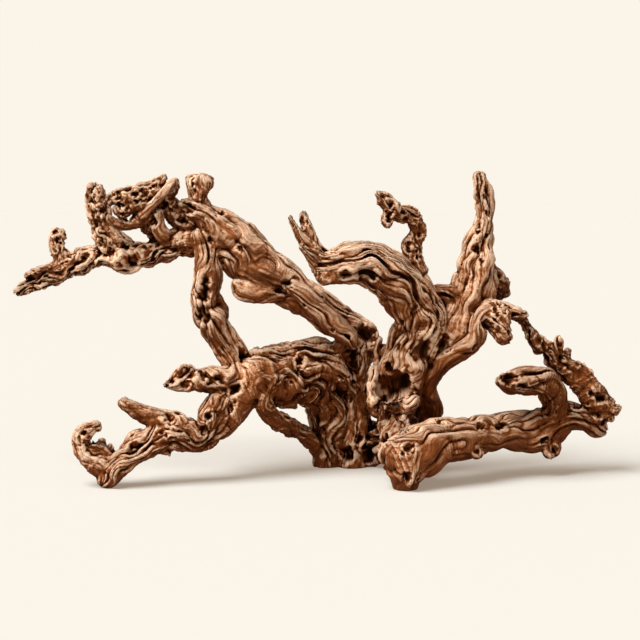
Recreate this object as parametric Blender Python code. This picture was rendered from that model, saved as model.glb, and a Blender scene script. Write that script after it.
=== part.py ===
"""A dry root: one gnarled piece of weathered wood that stands on four trimmed feet.

The root grew as one piece, so it is one solid. Each limb is a row of oval sections along a smooth
path. The limbs are merged into one skin, thinned out, and trimmed flat where they meet the ground.
Lengths in the table are millimetres; the scene is in metres, with +Z up and +X along the root.
"""

import math

import bmesh
import bpy
import numpy as np
from mathutils import Matrix, Vector

MM = 0.001
RING_SIDES = 14
RING_STEP = 3.5 * MM
CAP_RINGS = 3
CAP_LENGTH = 0.7  # of the end section's smaller half-width
SKIN_VOXEL = 2.8 * MM
SMOOTH_PASSES = 3
SMOOTH_SHARE = 0.5
MOST_TRIANGLES = 8000
DEPTH_SPREAD = 1.2  # how much further apart the limbs stand, front to back, than the table says
CENTRE = Vector((-1.0, 13.0, 0.0)) * MM  # moved to the origin: the middle of the root's box
GROUND = 0.0
FRONT_TO_BACK = Vector((0, 1, 0))

# Each limb lists its sections: x, y (away from the front), height, half-width, half-thickness.
# The half-width is measured in the upright plane that faces the front.
LIMBS = {
    "old_trunk": [
        (34, 42, -6, 16, 17), (38, 37, 40, 15, 19), (39, 31, 76, 11, 16), (42, 25, 113, 12, 15),
        (46, 20, 136, 15, 15), (30, 18, 148, 17, 16), (12, 14, 160, 18, 16), (-8, 12, 175, 19, 16),
        (-29, 10, 189, 20, 17), (-49, 8, 203, 23, 19), (-67, 7, 218, 25, 20), (-83, 6, 235, 25, 20),
        (-98, 5, 249, 20, 18), (-114, 4, 264, 12, 13), (-128, 2, 272, 8, 10), (-134, 0, 276, 5, 7),
    ],
    "trunk_lobe": [
        (-80, -2, 195, 7, 7), (-74, -3, 190, 12, 9), (-60, -3, 189, 14, 10), (-46, -2, 188, 13, 10),
        (-35, 0, 186, 8, 8),
    ],
    "cut_stump": [
        (-113, 6, 265, 12, 11), (-118, 6, 279, 9, 8), (-118, 6, 289, 12, 9), (-117, 6, 297, 15, 10),
    ],
    "arch": [
        (-93, 5, 247, 17, 16), (-118, 8, 237, 15, 15), (-138, 12, 234, 16, 15), (-158, 15, 228, 16, 14),
        (-178, 18, 221, 14, 14), (-198, 21, 219, 15, 14), (-218, 24, 219, 12, 12),
        (-238, 27, 212, 12, 11),
        (-258, 30, 202, 11, 10), (-278, 33, 192, 10, 8), (-293, 35, 186, 8, 7), (-302, 36, 180, 5, 5),
    ],
    "arch_leg": [
        (-112, 3, 242, 16, 14), (-109, 0, 218, 13, 13), (-111, -3, 198, 15, 13), (-113, -5, 180, 15, 13),
        (-106, -6, 158, 15, 13), (-93, -4, 137, 16, 13), (-81, -2, 116, 16, 14), (-68, 0, 100, 18, 16),
    ],
    "mid_trunk": [
        (8, 43, -6, 13, 15), (12, 38, 33, 19, 18), (12, 33, 61, 21, 19), (3, 27, 82, 26, 22),
        (-15, 18, 98, 32, 24), (-38, 8, 99, 33, 25), (-60, 0, 99, 30, 24), (-76, -6, 93, 26, 21),
    ],
    "shoulder": [
        (-28, 12, 108, 24, 22), (0, 16, 113, 22, 20), (20, 20, 106, 18, 18), (34, 26, 86, 14, 15),
    ],
    "left_limb": [
        (-68, -3, 101, 27, 22), (-82, -10, 82, 22, 19), (-94, -18, 61, 16, 16), (-113, -24, 47, 15, 15),
        (-133, -29, 47, 18, 15), (-150, -33, 48, 17, 15), (-168, -38, 42, 15, 14),
        (-185, -41, 31, 13, 14),
        (-201, -44, 18, 13, 14), (-210, -45, 7, 11, 12),
    ],
    "left_stub": [
        (-138, -30, 56, 15, 12), (-157, -32, 63, 12, 11), (-172, -34, 71, 9, 10), (-185, -36, 79, 8, 8),
        (-192, -37, 84, 6, 6),
    ],
    "left_hook": [
        (-207, -44, 16, 13, 12), (-221, -43, 25, 12, 11), (-232, -43, 35, 10, 9), (-235, -43, 46, 8, 8),
        (-229, -45, 54, 8, 7), (-222, -48, 60, 7, 5), (-216, -50, 63, 6, 4),
    ],
    "hook_rib_a": [(-214, -40, 28, 9, 7), (-215, -38, 39, 6, 5), (-214, -38, 45, 4, 4)],
    "hook_rib_b": [(-204, -42, 22, 9, 8), (-206, -40, 34, 6, 5), (-204, -40, 39, 4, 4)],
    "hollow_twig": [
        (-82, -10, 97, 17, 15), (-102, -18, 100, 15, 14), (-118, -23, 103, 12, 12),
        (-128, -27, 105, 13, 12),
        (-138, -31, 103, 10, 9), (-147, -34, 101, 6, 6), (-151, -36, 100, 3, 3),
    ],
    "twig_knob": [
        (-96, -24, 85, 11, 9), (-108, -30, 76, 10, 9), (-110, -33, 65, 10, 8), (-112, -34, 58, 7, 6),
    ],
    "low_strut": [
        (-42, -10, 100, 9, 9), (-53, -14, 80, 9, 8), (-47, -8, 63, 10, 8), (-30, 6, 49, 10, 8),
        (-13, 22, 36, 9, 9), (2, 38, 18, 10, 11),
    ],
    "crown": [
        (10, 44, 13, 17, 17), (30, 46, 14, 19, 18), (52, 44, 17, 19, 19), (72, 30, 34, 18, 18),
        (84, 14, 56, 20, 20),
    ],
    "rear_root": [
        (54, 46, 30, 17, 17), (68, 62, 22, 15, 15), (80, 76, 11, 13, 13), (87, 84, 2, 11, 11),
    ],
    "ribbed_limb": [
        (4, -35, 216, 14, 13), (22, -36, 221, 20, 16), (46, -33, 220, 21, 19), (70, -26, 208, 24, 21),
        (89, -18, 186, 27, 23), (101, -10, 159, 27, 24), (96, -4, 130, 27, 24), (87, 2, 100, 28, 24),
        (83, 8, 74, 25, 23), (82, 14, 50, 20, 20),
    ],
    "ribbed_knob": [(16, -38, 213, 12, 12), (4, -42, 207, 8, 9)],
    "prong_right": [
        (10, -36, 221, 12, 11), (-3, -35, 236, 8, 8), (-9, -34, 250, 7, 6), (-13, -33, 262, 5, 5),
        (-15, -33, 270, 3, 3),
    ],
    "prong_left": [
        (-3, -38, 232, 9, 7), (-15, -40, 247, 6, 5), (-23, -41, 259, 4, 4), (-27, -42, 268, 3, 3),
    ],
    "prong_ledge": [(3, -38, 214, 8, 8), (-7, -42, 229, 5, 5), (-17, -45, 240, 3, 4)],
    "curl": [
        (99, -14, 208, 10, 9), (94, -12, 222, 9, 8), (93, -11, 234, 11, 9), (99, -10, 245, 9, 8),
        (98, -10, 256, 9, 8), (90, -12, 265, 9, 8), (79, -15, 268, 9, 8), (71, -18, 275, 8, 7),
        (64, -20, 283, 7, 5), (60, -21, 287, 5, 5),
    ],
    "curl_nub": [(74, -18, 270, 7, 6), (67, -20, 263, 6, 5), (69, -22, 257, 5, 5)],
    "right_trunk": [
        (161, 14, 302, 6, 5), (163, 13, 289, 8, 7), (166, 12, 274, 9, 9), (167, 11, 258, 10, 10),
        (163, 10, 243, 13, 12), (160, 8, 228, 16, 14), (159, 6, 213, 19, 16), (157, 4, 195, 22, 18),
        (147, 2, 173, 23, 20), (134, 0, 149, 25, 21), (116, 2, 124, 23, 21), (104, 5, 101, 18, 20),
        (104, 9, 80, 14, 18), (107, 16, 59, 14, 17), (112, 22, 43, 13, 14),
    ],
    "trunk_boss": [(166, 12, 205, 14, 13), (179, 16, 194, 12, 12), (184, 18, 182, 8, 9)],
    "rim": [
        (169, -10, 172, 8, 9), (160, -16, 162, 8, 9), (156, -20, 144, 9, 10), (144, -20, 131, 10, 10),
        (126, -16, 119, 9, 11), (113, -8, 101, 9, 12), (111, 0, 81, 9, 13), (116, 8, 65, 10, 14),
    ],
    "pitted_knot": [
        (167, -6, 173, 10, 10), (176, -12, 164, 15, 12), (181, -16, 156, 13, 10), (184, -17, 150, 9, 8),
    ],
    "knot_beak": [
        (174, -6, 173, 8, 8), (190, -8, 168, 8, 7), (202, -9, 165, 6, 6), (206, -9, 166, 4, 4),
    ],
    "thin_twig": [
        (188, -6, 168, 7, 7), (201, -4, 162, 5, 6), (211, -2, 148, 7, 6), (222, 0, 133, 9, 7),
        (234, 3, 123, 10, 8), (247, 6, 110, 11, 9), (261, 8, 97, 13, 11), (274, 10, 84, 15, 12),
        (279, 12, 70, 14, 13), (277, 12, 56, 13, 12),
    ],
    "twig_nub_a": [(237, 2, 121, 8, 6), (239, -1, 132, 6, 5), (241, -2, 140, 5, 4)],
    "twig_nub_b": [(242, 5, 111, 8, 8), (249, 6, 122, 5, 6), (250, 6, 126, 4, 4)],
    "end_nub": [(276, 12, 77, 12, 11), (288, 10, 69, 10, 9), (297, 8, 66, 6, 6), (302, 8, 68, 3, 3)],
    "end_nub_low": [(282, 12, 67, 9, 9), (291, 8, 60, 6, 6), (294, 6, 56, 4, 4)],
    "gap_web": [(46, 20, 126, 8, 10), (60, 14, 124, 6, 8), (74, 6, 122, 9, 9)],
    "splinter": [(59, 6, 106, 4, 5), (60, 8, 120, 4, 5), (61, 9, 137, 3, 4)],
    "cup_rim": [
        (56, -4, 110, 5, 6), (53, -10, 90, 5, 6), (58, -14, 75, 5, 7), (70, -17, 70, 5, 7),
        (83, -19, 74, 5, 7), (95, -20, 82, 6, 7),
    ],
    "leg_flange": [
        (-99, -2, 181, 4, 6), (-93, -2, 172, 4, 6), (-92, -2, 162, 4, 6), (-98, -3, 149, 5, 6),
    ],
    "mid_knob": [(-64, 4, 117, 9, 9), (-61, 4, 126, 6, 7)],
    "arch_ledge": [
        (-294, 32, 197, 3, 5), (-280, 30, 204, 4, 6), (-262, 28, 208, 6, 7), (-243, 27, 215, 9, 8),
    ],
    "inner_web": [(44, 28, 74, 12, 12), (62, 20, 68, 14, 12), (80, 12, 62, 15, 14)],
    "rear_stub": [
        (95, 10, 132, 18, 16), (100, 34, 142, 14, 14), (104, 54, 150, 11, 11), (105, 68, 157, 8, 8),
    ],
    "front_limb": [
        (84, -50, 31, 25, 24), (101, -46, 38, 26, 23), (122, -38, 45, 22, 21), (144, -28, 45, 22, 20),
        (162, -18, 45, 19, 18), (182, -9, 46, 18, 17), (204, -3, 46, 21, 18), (226, 2, 48, 22, 19),
        (248, 6, 58, 16, 15), (264, 9, 55, 13, 12), (280, 11, 46, 9, 8), (285, 11, 44, 7, 6),
    ],
    "front_foot": [(85, -52, 37, 26, 23), (86, -53, 19, 21, 20), (86, -53, 5, 14, 13)],
    "limb_link": [(84, 16, 54, 20, 20), (80, -8, 46, 20, 20), (82, -34, 37, 22, 20)],
    "limb_burl": [(152, -34, 39, 12, 10), (158, -36, 30, 7, 8)],
    "claw": [
        (236, 3, 52, 16, 15), (238, 0, 71, 13, 13), (233, -5, 87, 14, 13), (221, -12, 98, 14, 13),
        (205, -19, 100, 14, 12), (191, -24, 101, 12, 10), (182, -28, 103, 8, 7),
    ],
    "under_stub": [(228, 0, 43, 14, 13), (232, -3, 31, 11, 10), (233, -4, 24, 9, 8)],
    "spike_short": [
        (-250, 30, 208, 13, 11), (-259, 30, 220, 9, 8), (-262, 31, 232, 8, 7), (-260, 32, 241, 9, 7),
    ],
    "spike_tall": [
        (-204, 22, 224, 15, 13), (-213, 20, 242, 13, 12), (-217, 18, 260, 12, 11), (-221, 16, 277, 10, 9),
        (-223, 15, 288, 9, 8),
    ],
    "spike_brace": [(-214, 16, 255, 9, 8), (-201, 16, 239, 7, 7), (-185, 16, 226, 8, 8)],
    "burl_stem": [
        (-158, 14, 235, 9, 9), (-167, 10, 249, 8, 8), (-168, 8, 263, 9, 8), (-159, 8, 278, 9, 8),
        (-146, 8, 287, 7, 6), (-140, 8, 294, 4, 4),
    ],
    "burl_prop": [
        (-128, 10, 254, 12, 10), (-140, 10, 262, 12, 9), (-150, 9, 275, 9, 8), (-152, 8, 288, 6, 6),
    ],
    "burl_arm": [
        (-153, 4, 300, 4, 4), (-163, 4, 291, 7, 7), (-175, 4, 284, 10, 8), (-190, 2, 282, 9, 8),
        (-201, 0, 281, 6, 5), (-207, -1, 278, 4, 3),
    ],
    "burl_link": [(-180, 4, 284, 8, 7), (-174, 6, 274, 6, 6), (-166, 9, 263, 9, 6)],
    "burl_curl": [
        (-168, 5, 268, 9, 8), (-178, 4, 258, 7, 7), (-190, 2, 254, 6, 5), (-201, 0, 256, 5, 4),
        (-207, -1, 261, 4, 3),
    ],
    "burl_tooth": [
        (-174, 3, 276, 9, 8), (-186, 1, 271, 7, 7), (-195, 0, 267, 6, 6), (-199, 0, 271, 4, 4),
    ],
    "hook_bowl": [(-203, -43, 21, 13, 10), (-215, -41, 30, 13, 9), (-224, -41, 38, 11, 9)],
    "left_hump": [(-188, -40, 34, 11, 11), (-178, -37, 44, 12, 12), (-167, -35, 47, 9, 10)],
    "knot_ball": [(178, -15, 154, 10, 9), (183, -17, 148, 10, 9), (187, -18, 143, 8, 7)],
    "bridge": [(12, 18, 108, 18, 16), (23, 20, 121, 15, 15), (34, 22, 134, 13, 13)],
    "front_bar": [
        (-27, 0, 193, 9, 8), (-14, -2, 184, 9, 8), (3, -1, 166, 10, 8), (18, 1, 152, 10, 8),
        (30, 3, 140, 10, 9), (35, 4, 133, 7, 6),
    ],
    "lobe_web": [(-72, 0, 214, 14, 11), (-56, -2, 204, 16, 12), (-42, -1, 196, 12, 10)],
    "burl_brace": [
        (-174, -1, 263, 5, 5), (-162, -3, 276, 4, 4), (-152, -3, 287, 5, 5), (-143, 0, 297, 4, 4),
    ],
    "burl_strand": [(-153, 4, 240, 8, 6), (-157, 1, 252, 7, 5), (-158, 0, 266, 5, 5)],
    "fork_web": [(108, -6, 180, 12, 12), (120, -4, 186, 8, 11), (134, -2, 182, 12, 12)],
}


def clear_scene():
    for old in list(bpy.data.objects):
        bpy.data.objects.remove(old, do_unlink=True)


def smooth_path(sections):
    """Sections about RING_STEP apart on a Catmull-Rom curve through the given ones, in metres."""
    given = np.array(sections, float) * MM
    given[:, 1] *= DEPTH_SPREAD
    ends = [2 * given[0] - given[1], *given, 2 * given[-1] - given[-2]]
    path = []
    for before, start, stop, after in zip(ends, ends[1:], ends[2:], ends[3:]):
        count = max(1, round(float(np.linalg.norm(stop[:3] - start[:3])) / RING_STEP))
        for step in range(count):
            t = step / count
            path.append(0.5 * (
                2 * start
                + (stop - before) * t
                + (2 * before - 5 * start + 4 * stop - after) * t**2
                + (3 * start - before - 3 * stop + after) * t**3
            ))
    path.append(given[-1])
    return np.array(path)


def capped_path(path):
    """The path with a few shrinking sections beyond each end, which round it off."""
    rows = [*path]
    for end, inner, place in ((path[0], path[1], 0), (path[-1], path[-2], None)):
        outward = end[:3] - inner[:3]
        outward /= np.linalg.norm(outward)
        reach = CAP_LENGTH * min(end[3], end[4])
        for ring in range(1, CAP_RINGS + 1):
            angle = 0.9 * math.pi / 2 * ring / CAP_RINGS
            row = end.copy()
            row[:3] += outward * reach * math.sin(angle)
            row[3:] *= math.cos(angle)
            rows.insert(0 if place == 0 else len(rows), row)
    return np.array(rows)


def ring_places(rows):
    """For each section, the matrix that turns a unit circle into its oval ring, across the path."""
    directions = np.gradient(rows[:, :3], axis=0)
    places = []
    wide = Vector((1, 0, 0))
    for row, direction in zip(rows, directions):
        along = Vector(direction).normalized()
        level = FRONT_TO_BACK.cross(along)
        carried = wide - wide.dot(along) * along
        if level.dot(carried) < 0:
            level.negate()
        steadiness = level.length
        wide = (level * steadiness + carried * (1 - steadiness) / 2).normalized()
        deep = along.cross(wide)
        turn = Matrix((wide * row[3], deep * row[4], along)).transposed().to_4x4()
        places.append(Matrix.Translation(row[:3]) @ turn)
    return places


def add_limb(mesh, sections):
    """One closed tube: an oval disc, extruded from section to section."""
    places = ring_places(capped_path(smooth_path(sections)))
    tube = bmesh.new()
    bmesh.ops.create_circle(tube, cap_ends=True, segments=RING_SIDES, radius=1, matrix=places[0])
    end = tube.faces[:][0]
    for here, after in zip(places, places[1:]):
        grown = bmesh.ops.extrude_face_region(tube, geom=[end])["geom"]
        end = next(item for item in grown if isinstance(item, bmesh.types.BMFace))
        bmesh.ops.transform(tube, matrix=after @ here.inverted(), verts=end.verts[:])
    limb = bpy.data.meshes.new("limb")
    tube.to_mesh(limb)
    tube.free()
    mesh.from_mesh(limb)
    bpy.data.meshes.remove(limb)


def apply_modifier(root, kind, **settings):
    modifier = root.modifiers.new(kind.title(), kind)
    for setting, value in settings.items():
        setattr(modifier, setting, value)
    graph = bpy.context.evaluated_depsgraph_get()
    shaped = bpy.data.meshes.new_from_object(root.evaluated_get(graph))
    root.modifiers.clear()
    root.data = shaped


def keep_largest_body(mesh):
    """Removes any scrap that the merging left apart from the root, such as the skin of an air pocket."""
    unseen = set(mesh.verts)
    bodies = []
    while unseen:
        body, edge = set(), {unseen.pop()}
        while edge:
            vertex = edge.pop()
            body.add(vertex)
            near = {link.other_vert(vertex) for link in vertex.link_edges} & unseen
            unseen -= near
            edge |= near
        bodies.append(body)
    bodies.sort(key=len)
    scraps = [vertex for body in bodies[:-1] for vertex in body]
    bmesh.ops.delete(mesh, geom=scraps, context="VERTS")


def trim_feet(mesh):
    """Cuts the feet off level with the ground and closes each one with a flat face."""
    everything = [*mesh.verts, *mesh.edges, *mesh.faces]
    bmesh.ops.bisect_plane(
        mesh, geom=everything, dist=1e-6, plane_co=(0, 0, GROUND), plane_no=(0, 0, -1), clear_outer=True
    )
    rims = [edge for edge in mesh.edges if edge.is_boundary]
    soles = bmesh.ops.holes_fill(mesh, edges=rims, sides=0)["faces"]
    bmesh.ops.recalc_face_normals(mesh, faces=mesh.faces[:])
    return soles


def wood_material():
    material = bpy.data.materials.new("weathered_wood")
    material.use_nodes = True
    surface = material.node_tree.nodes["Principled BSDF"]
    surface.inputs["Base Color"].default_value = (0.40, 0.22, 0.13, 1)
    surface.inputs["Roughness"].default_value = 0.75
    surface.inputs["Metallic"].default_value = 0.0
    return material


def build_root():
    mesh = bmesh.new()
    for sections in LIMBS.values():
        add_limb(mesh, sections)
    bmesh.ops.translate(mesh, verts=mesh.verts[:], vec=-CENTRE)
    bmesh.ops.recalc_face_normals(mesh, faces=mesh.faces[:])
    root = bpy.data.objects.new("dry_root", bpy.data.meshes.new("dry_root"))
    mesh.to_mesh(root.data)
    bpy.context.scene.collection.objects.link(root)

    apply_modifier(root, "REMESH", mode="VOXEL", voxel_size=SKIN_VOXEL)
    apply_modifier(root, "SMOOTH", factor=SMOOTH_SHARE, iterations=SMOOTH_PASSES)
    triangles = sum(len(face.vertices) - 2 for face in root.data.polygons)
    apply_modifier(root, "DECIMATE", ratio=MOST_TRIANGLES / triangles, use_collapse_triangulate=True)

    mesh.clear()
    mesh.from_mesh(root.data)
    keep_largest_body(mesh)
    soles = trim_feet(mesh)
    for sole in soles:
        middle = sole.calc_center_median() * 1000
        print(f"foot at {middle.x:.0f}, {middle.y:.0f} mm, {sole.calc_area() * 1e6:.0f} mm2")
    mesh.to_mesh(root.data)
    mesh.free()
    root.data.materials.clear()
    root.data.materials.append(wood_material())
    root.data.shade_smooth()
    return root


def main():
    clear_scene()
    root = build_root()
    corners = np.array([vertex.co for vertex in root.data.vertices]) * 1000
    low, high = corners.min(axis=0), corners.max(axis=0)
    print("box", np.round(low, 1), np.round(high, 1), "triangles", len(root.data.polygons))


main()
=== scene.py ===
# %% [markdown]
# # A dry root
# This lesson builds the looks of one gnarled root that has dried for years. The solid model gives its
# size and place. Here it gets its real surface: ropes of fibre, folds, pits, rotted hollows, cracks and
# crumbled ends, and a wood that is bleached where it stands out, with a painted highlight on its upward
# faces and painted shade where it sinks.
#
# The frame comes first. Everything below stays in its coordinates: metres, +Z up, the floor at zero.

import itertools
import math
from collections import defaultdict, namedtuple

import bmesh
import bpy
import numpy as np
from mathutils import Matrix, Vector
from mathutils.bvhtree import BVHTree


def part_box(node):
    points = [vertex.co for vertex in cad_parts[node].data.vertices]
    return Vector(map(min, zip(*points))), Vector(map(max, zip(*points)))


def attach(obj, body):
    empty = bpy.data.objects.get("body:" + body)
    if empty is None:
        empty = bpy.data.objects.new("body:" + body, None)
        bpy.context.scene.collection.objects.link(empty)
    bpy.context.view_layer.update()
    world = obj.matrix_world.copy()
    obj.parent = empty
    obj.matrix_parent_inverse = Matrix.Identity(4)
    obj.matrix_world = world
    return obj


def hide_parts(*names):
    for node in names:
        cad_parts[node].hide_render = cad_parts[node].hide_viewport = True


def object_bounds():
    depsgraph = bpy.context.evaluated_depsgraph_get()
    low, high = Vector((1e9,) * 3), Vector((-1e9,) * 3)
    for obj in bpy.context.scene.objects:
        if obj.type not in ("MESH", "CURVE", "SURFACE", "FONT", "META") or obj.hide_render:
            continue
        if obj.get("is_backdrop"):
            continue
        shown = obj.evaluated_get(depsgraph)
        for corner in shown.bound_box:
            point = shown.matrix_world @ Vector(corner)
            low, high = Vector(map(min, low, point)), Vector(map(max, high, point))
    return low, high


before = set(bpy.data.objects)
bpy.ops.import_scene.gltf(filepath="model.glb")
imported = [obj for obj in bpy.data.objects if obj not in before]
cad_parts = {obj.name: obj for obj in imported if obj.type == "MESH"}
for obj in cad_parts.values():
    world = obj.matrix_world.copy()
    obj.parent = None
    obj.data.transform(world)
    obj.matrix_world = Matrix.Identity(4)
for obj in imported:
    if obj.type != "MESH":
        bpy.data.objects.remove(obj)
cad_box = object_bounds()
scene = bpy.context.scene
cad_low, cad_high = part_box("dry_root")
print("frame", [round(1000 * side) for side in cad_high - cad_low], "mm")

# %% [markdown]
# ## Camera
# A root this open reads best from far off with a long lens, because then its limbs keep their real
# proportions. The camera looks slightly down, so that the feet stand apart on the floor.

# %% Place the camera
LOOK_DOWN = math.radians(9.2)
CAMERA_AWAY = 3.2
SENSOR = 0.036
VIEW_WIDTH = 0.640  # what the picture spans at the root, in metres
LOOK_AT = Vector((0.003, 0.0, 0.156))
CLIP_END = 50

sight = Vector((0, math.cos(LOOK_DOWN), -math.sin(LOOK_DOWN)))
camera = bpy.data.objects.new("camera", bpy.data.cameras.new("camera"))
camera.data.sensor_width = SENSOR * 1000
camera.data.lens = camera.data.sensor_width * CAMERA_AWAY / VIEW_WIDTH
camera.data.clip_end = CLIP_END
camera.location = LOOK_AT - sight * CAMERA_AWAY
camera.rotation_euler = sight.to_track_quat("-Z", "Y").to_euler()
scene.collection.objects.link(camera)
scene.camera = camera
print("lens", round(camera.data.lens), "mm at", [round(v, 2) for v in camera.location])

# %% [markdown]
# ## A short way to write materials
# A material is a web of nodes, and most of them do sums. The class below wraps an output socket, so that
# a sum of sockets is written as a sum of numbers would be, and adds its own Math nodes. One method makes
# any other node. The floor, the sky and the wood all use it.

# %% Sockets that can be used in sums
class Wire:
    """An output socket of a material, which can be used in sums as a number can."""

    def __init__(self, tree, socket=None):
        self.tree = tree
        self.socket = socket

    def node(self, kind, settings=(), output=0, **values):
        """Any node: its settings first, then the value or the wire of each named or numbered input."""
        made = self.tree.nodes.new(kind)
        for setting, value in dict(settings).items():
            setattr(made, setting, value)
        for name, value in values.items():
            numbered = name[0] == "i" and name[1:].isdigit()
            place = made.inputs[int(name[1:]) if numbered else name.replace("_", " ")]
            if isinstance(value, Wire):
                self.tree.links.new(value.socket, place)
            else:
                place.default_value = value
        return Wire(self.tree, made.outputs[output])

    def sum(self, operation, one, other=0.0):
        return self.node("ShaderNodeMath", {"operation": operation}, i0=one, i1=other)

    def __add__(self, other):
        return self.sum("ADD", self, other)

    __radd__ = __add__

    def __mul__(self, other):
        return self.sum("MULTIPLY", self, other)

    __rmul__ = __mul__

    def __sub__(self, other):
        return self.sum("SUBTRACT", self, other)

    def __rsub__(self, other):
        return self.sum("SUBTRACT", other, self)

    def size(self):
        """This number without its sign."""
        return self.sum("ABSOLUTE", self)

    def between(self, low, high):
        """0 below low, 1 above high, and a soft rise from one to the other."""
        soft = {"interpolation_type": "SMOOTHSTEP"}
        return self.node("ShaderNodeMapRange", soft, i0=self, i1=low, i2=high)

    def stretched(self, x, y, z):
        """A vector with each part multiplied."""
        return self.node("ShaderNodeVectorMath", {"operation": "MULTIPLY"}, i0=self, i1=(x, y, z))

    def noise(self, scale, detail=2.0, roughness=0.5):
        """Soft noise from 0 to 1, read at this vector."""
        return self.node(
            "ShaderNodeTexNoise", Vector=self, Scale=scale, Detail=detail, Roughness=roughness
        )

    def blend(self, one, other, share, blend_type="MIX"):
        """The first colour mixed towards the other."""
        settings = {"data_type": "RGBA", "blend_type": blend_type}
        return self.node("ShaderNodeMix", settings, output=2, i0=share, i6=one, i7=other)

    def tint(self, colour, share):
        """This colour mixed towards another one."""
        return self.blend(self, colour, share)

    def shade(self, colour, share):
        """This colour multiplied by another one."""
        return self.blend(self, colour, share, "MULTIPLY")

    def length(self):
        """How long this vector is."""
        return self.node("ShaderNodeVectorMath", {"operation": "LENGTH"}, output=1, i0=self)

    def scaled(self, share):
        """This vector or colour made longer or shorter."""
        return self.node("ShaderNodeVectorMath", {"operation": "SCALE"}, i0=self, Scale=share)

    def feed(self, place):
        """Plugs this wire into an input socket."""
        self.tree.links.new(self.socket, place)


def set_inputs(shader, **values):
    """Gives a shader's own sockets their plain values."""
    for name, value in values.items():
        shader.inputs[name.replace("_", " ")].default_value = value


print("operators ready")

# %% [markdown]
# ## Floor and light
# A dry root has no gloss to speak of, so its relief shows only through shade. A broad soft lamp from the
# upper left draws every ridge, an even sky keeps the far sides open, and a pale floor that fades into
# the backdrop throws warm light on the root's underside.

# %% Floor
PAPER = (0.464, 0.487, 0.480, 1)
PAPER_GLOW = (0.27, 0.215, 0.165, 1)  # light that the studio throws into the shadows
BACKDROP = (0.965, 0.905, 0.807, 1)
FLOOR_RADIUS = 6.0
FADE_START, FADE_END = 1.0, 3.0
PAPER_ROUGHNESS = 0.95
PAPER_SPECULAR = 0.1

disc = bmesh.new()
bmesh.ops.create_circle(disc, cap_ends=True, segments=96, radius=FLOOR_RADIUS)
floor = bpy.data.objects.new("paper_floor", bpy.data.meshes.new("paper_floor"))
disc.to_mesh(floor.data)
disc.free()
scene.collection.objects.link(floor)
paper = bpy.data.materials.new("paper")
paper.use_nodes = True
matte = paper.node_tree.nodes["Principled BSDF"]
set_inputs(matte, Base_Color=PAPER, Roughness=PAPER_ROUGHNESS, Specular_IOR_Level=PAPER_SPECULAR)
set_inputs(matte, Emission_Color=PAPER_GLOW, Emission_Strength=1.0)
web = Wire(paper.node_tree)
far_out = web.node("ShaderNodeTexCoord", output=3).length()
gone = web.node("ShaderNodeBsdfTransparent")
solid = Wire(paper.node_tree, matte.outputs["BSDF"])
fading = web.node("ShaderNodeMixShader", i0=far_out.between(FADE_START, FADE_END), i1=solid, i2=gone)
fading.feed(paper.node_tree.nodes["Material Output"].inputs["Surface"])
floor.data.materials.append(paper)
floor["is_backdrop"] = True
print("floor", round(2 * FLOOR_RADIUS), "m across, fading from", FADE_START, "m")

# %% Lights
SKY_STRENGTH = 0.24
SUN_STRENGTH = 4.75
SUN_SOFTNESS = math.radians(38)
SUN_FROM = Vector((-0.55, -0.34, 1.0))
SUN_COLOUR = (1.0, 0.975, 0.95)
SKY_COLOUR = (1.0, 0.82, 0.68, 1)

sun = bpy.data.objects.new("key", bpy.data.lights.new("key", "SUN"))
sun.data.energy = SUN_STRENGTH
sun.data.angle = SUN_SOFTNESS
sun.data.color = SUN_COLOUR
sun.rotation_euler = (-SUN_FROM).to_track_quat("-Z", "Y").to_euler()
scene.collection.objects.link(sun)
world = bpy.data.worlds.new("studio")
scene.world = world
world.use_nodes = True
sky = world.node_tree.nodes["Background"]
set_inputs(sky, Color=SKY_COLOUR, Strength=SKY_STRENGTH)
web = Wire(world.node_tree)
lit = Wire(world.node_tree, sky.outputs["Background"])
backdrop = web.node("ShaderNodeBackground", Color=BACKDROP)
either = web.node("ShaderNodeMixShader", i0=web.node("ShaderNodeLightPath"), i1=lit, i2=backdrop)
either.feed(world.node_tree.nodes["World Output"].inputs["Surface"])
scene.view_settings.view_transform = "Standard"
print("sun", SUN_STRENGTH, "sky", SKY_STRENGTH)

# %% [markdown]
# ## The limbs
# Each limb is a row of oval sections along its path: x, y (away from the front), height, half-width and
# half-thickness, in millimetres. They are the solid's own limbs, because the looks and the solid share
# one shape. A smooth curve through the sections gives every limb a middle line, and that line is used
# twice: to build the limb, and later to lay the grain along it.

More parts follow.
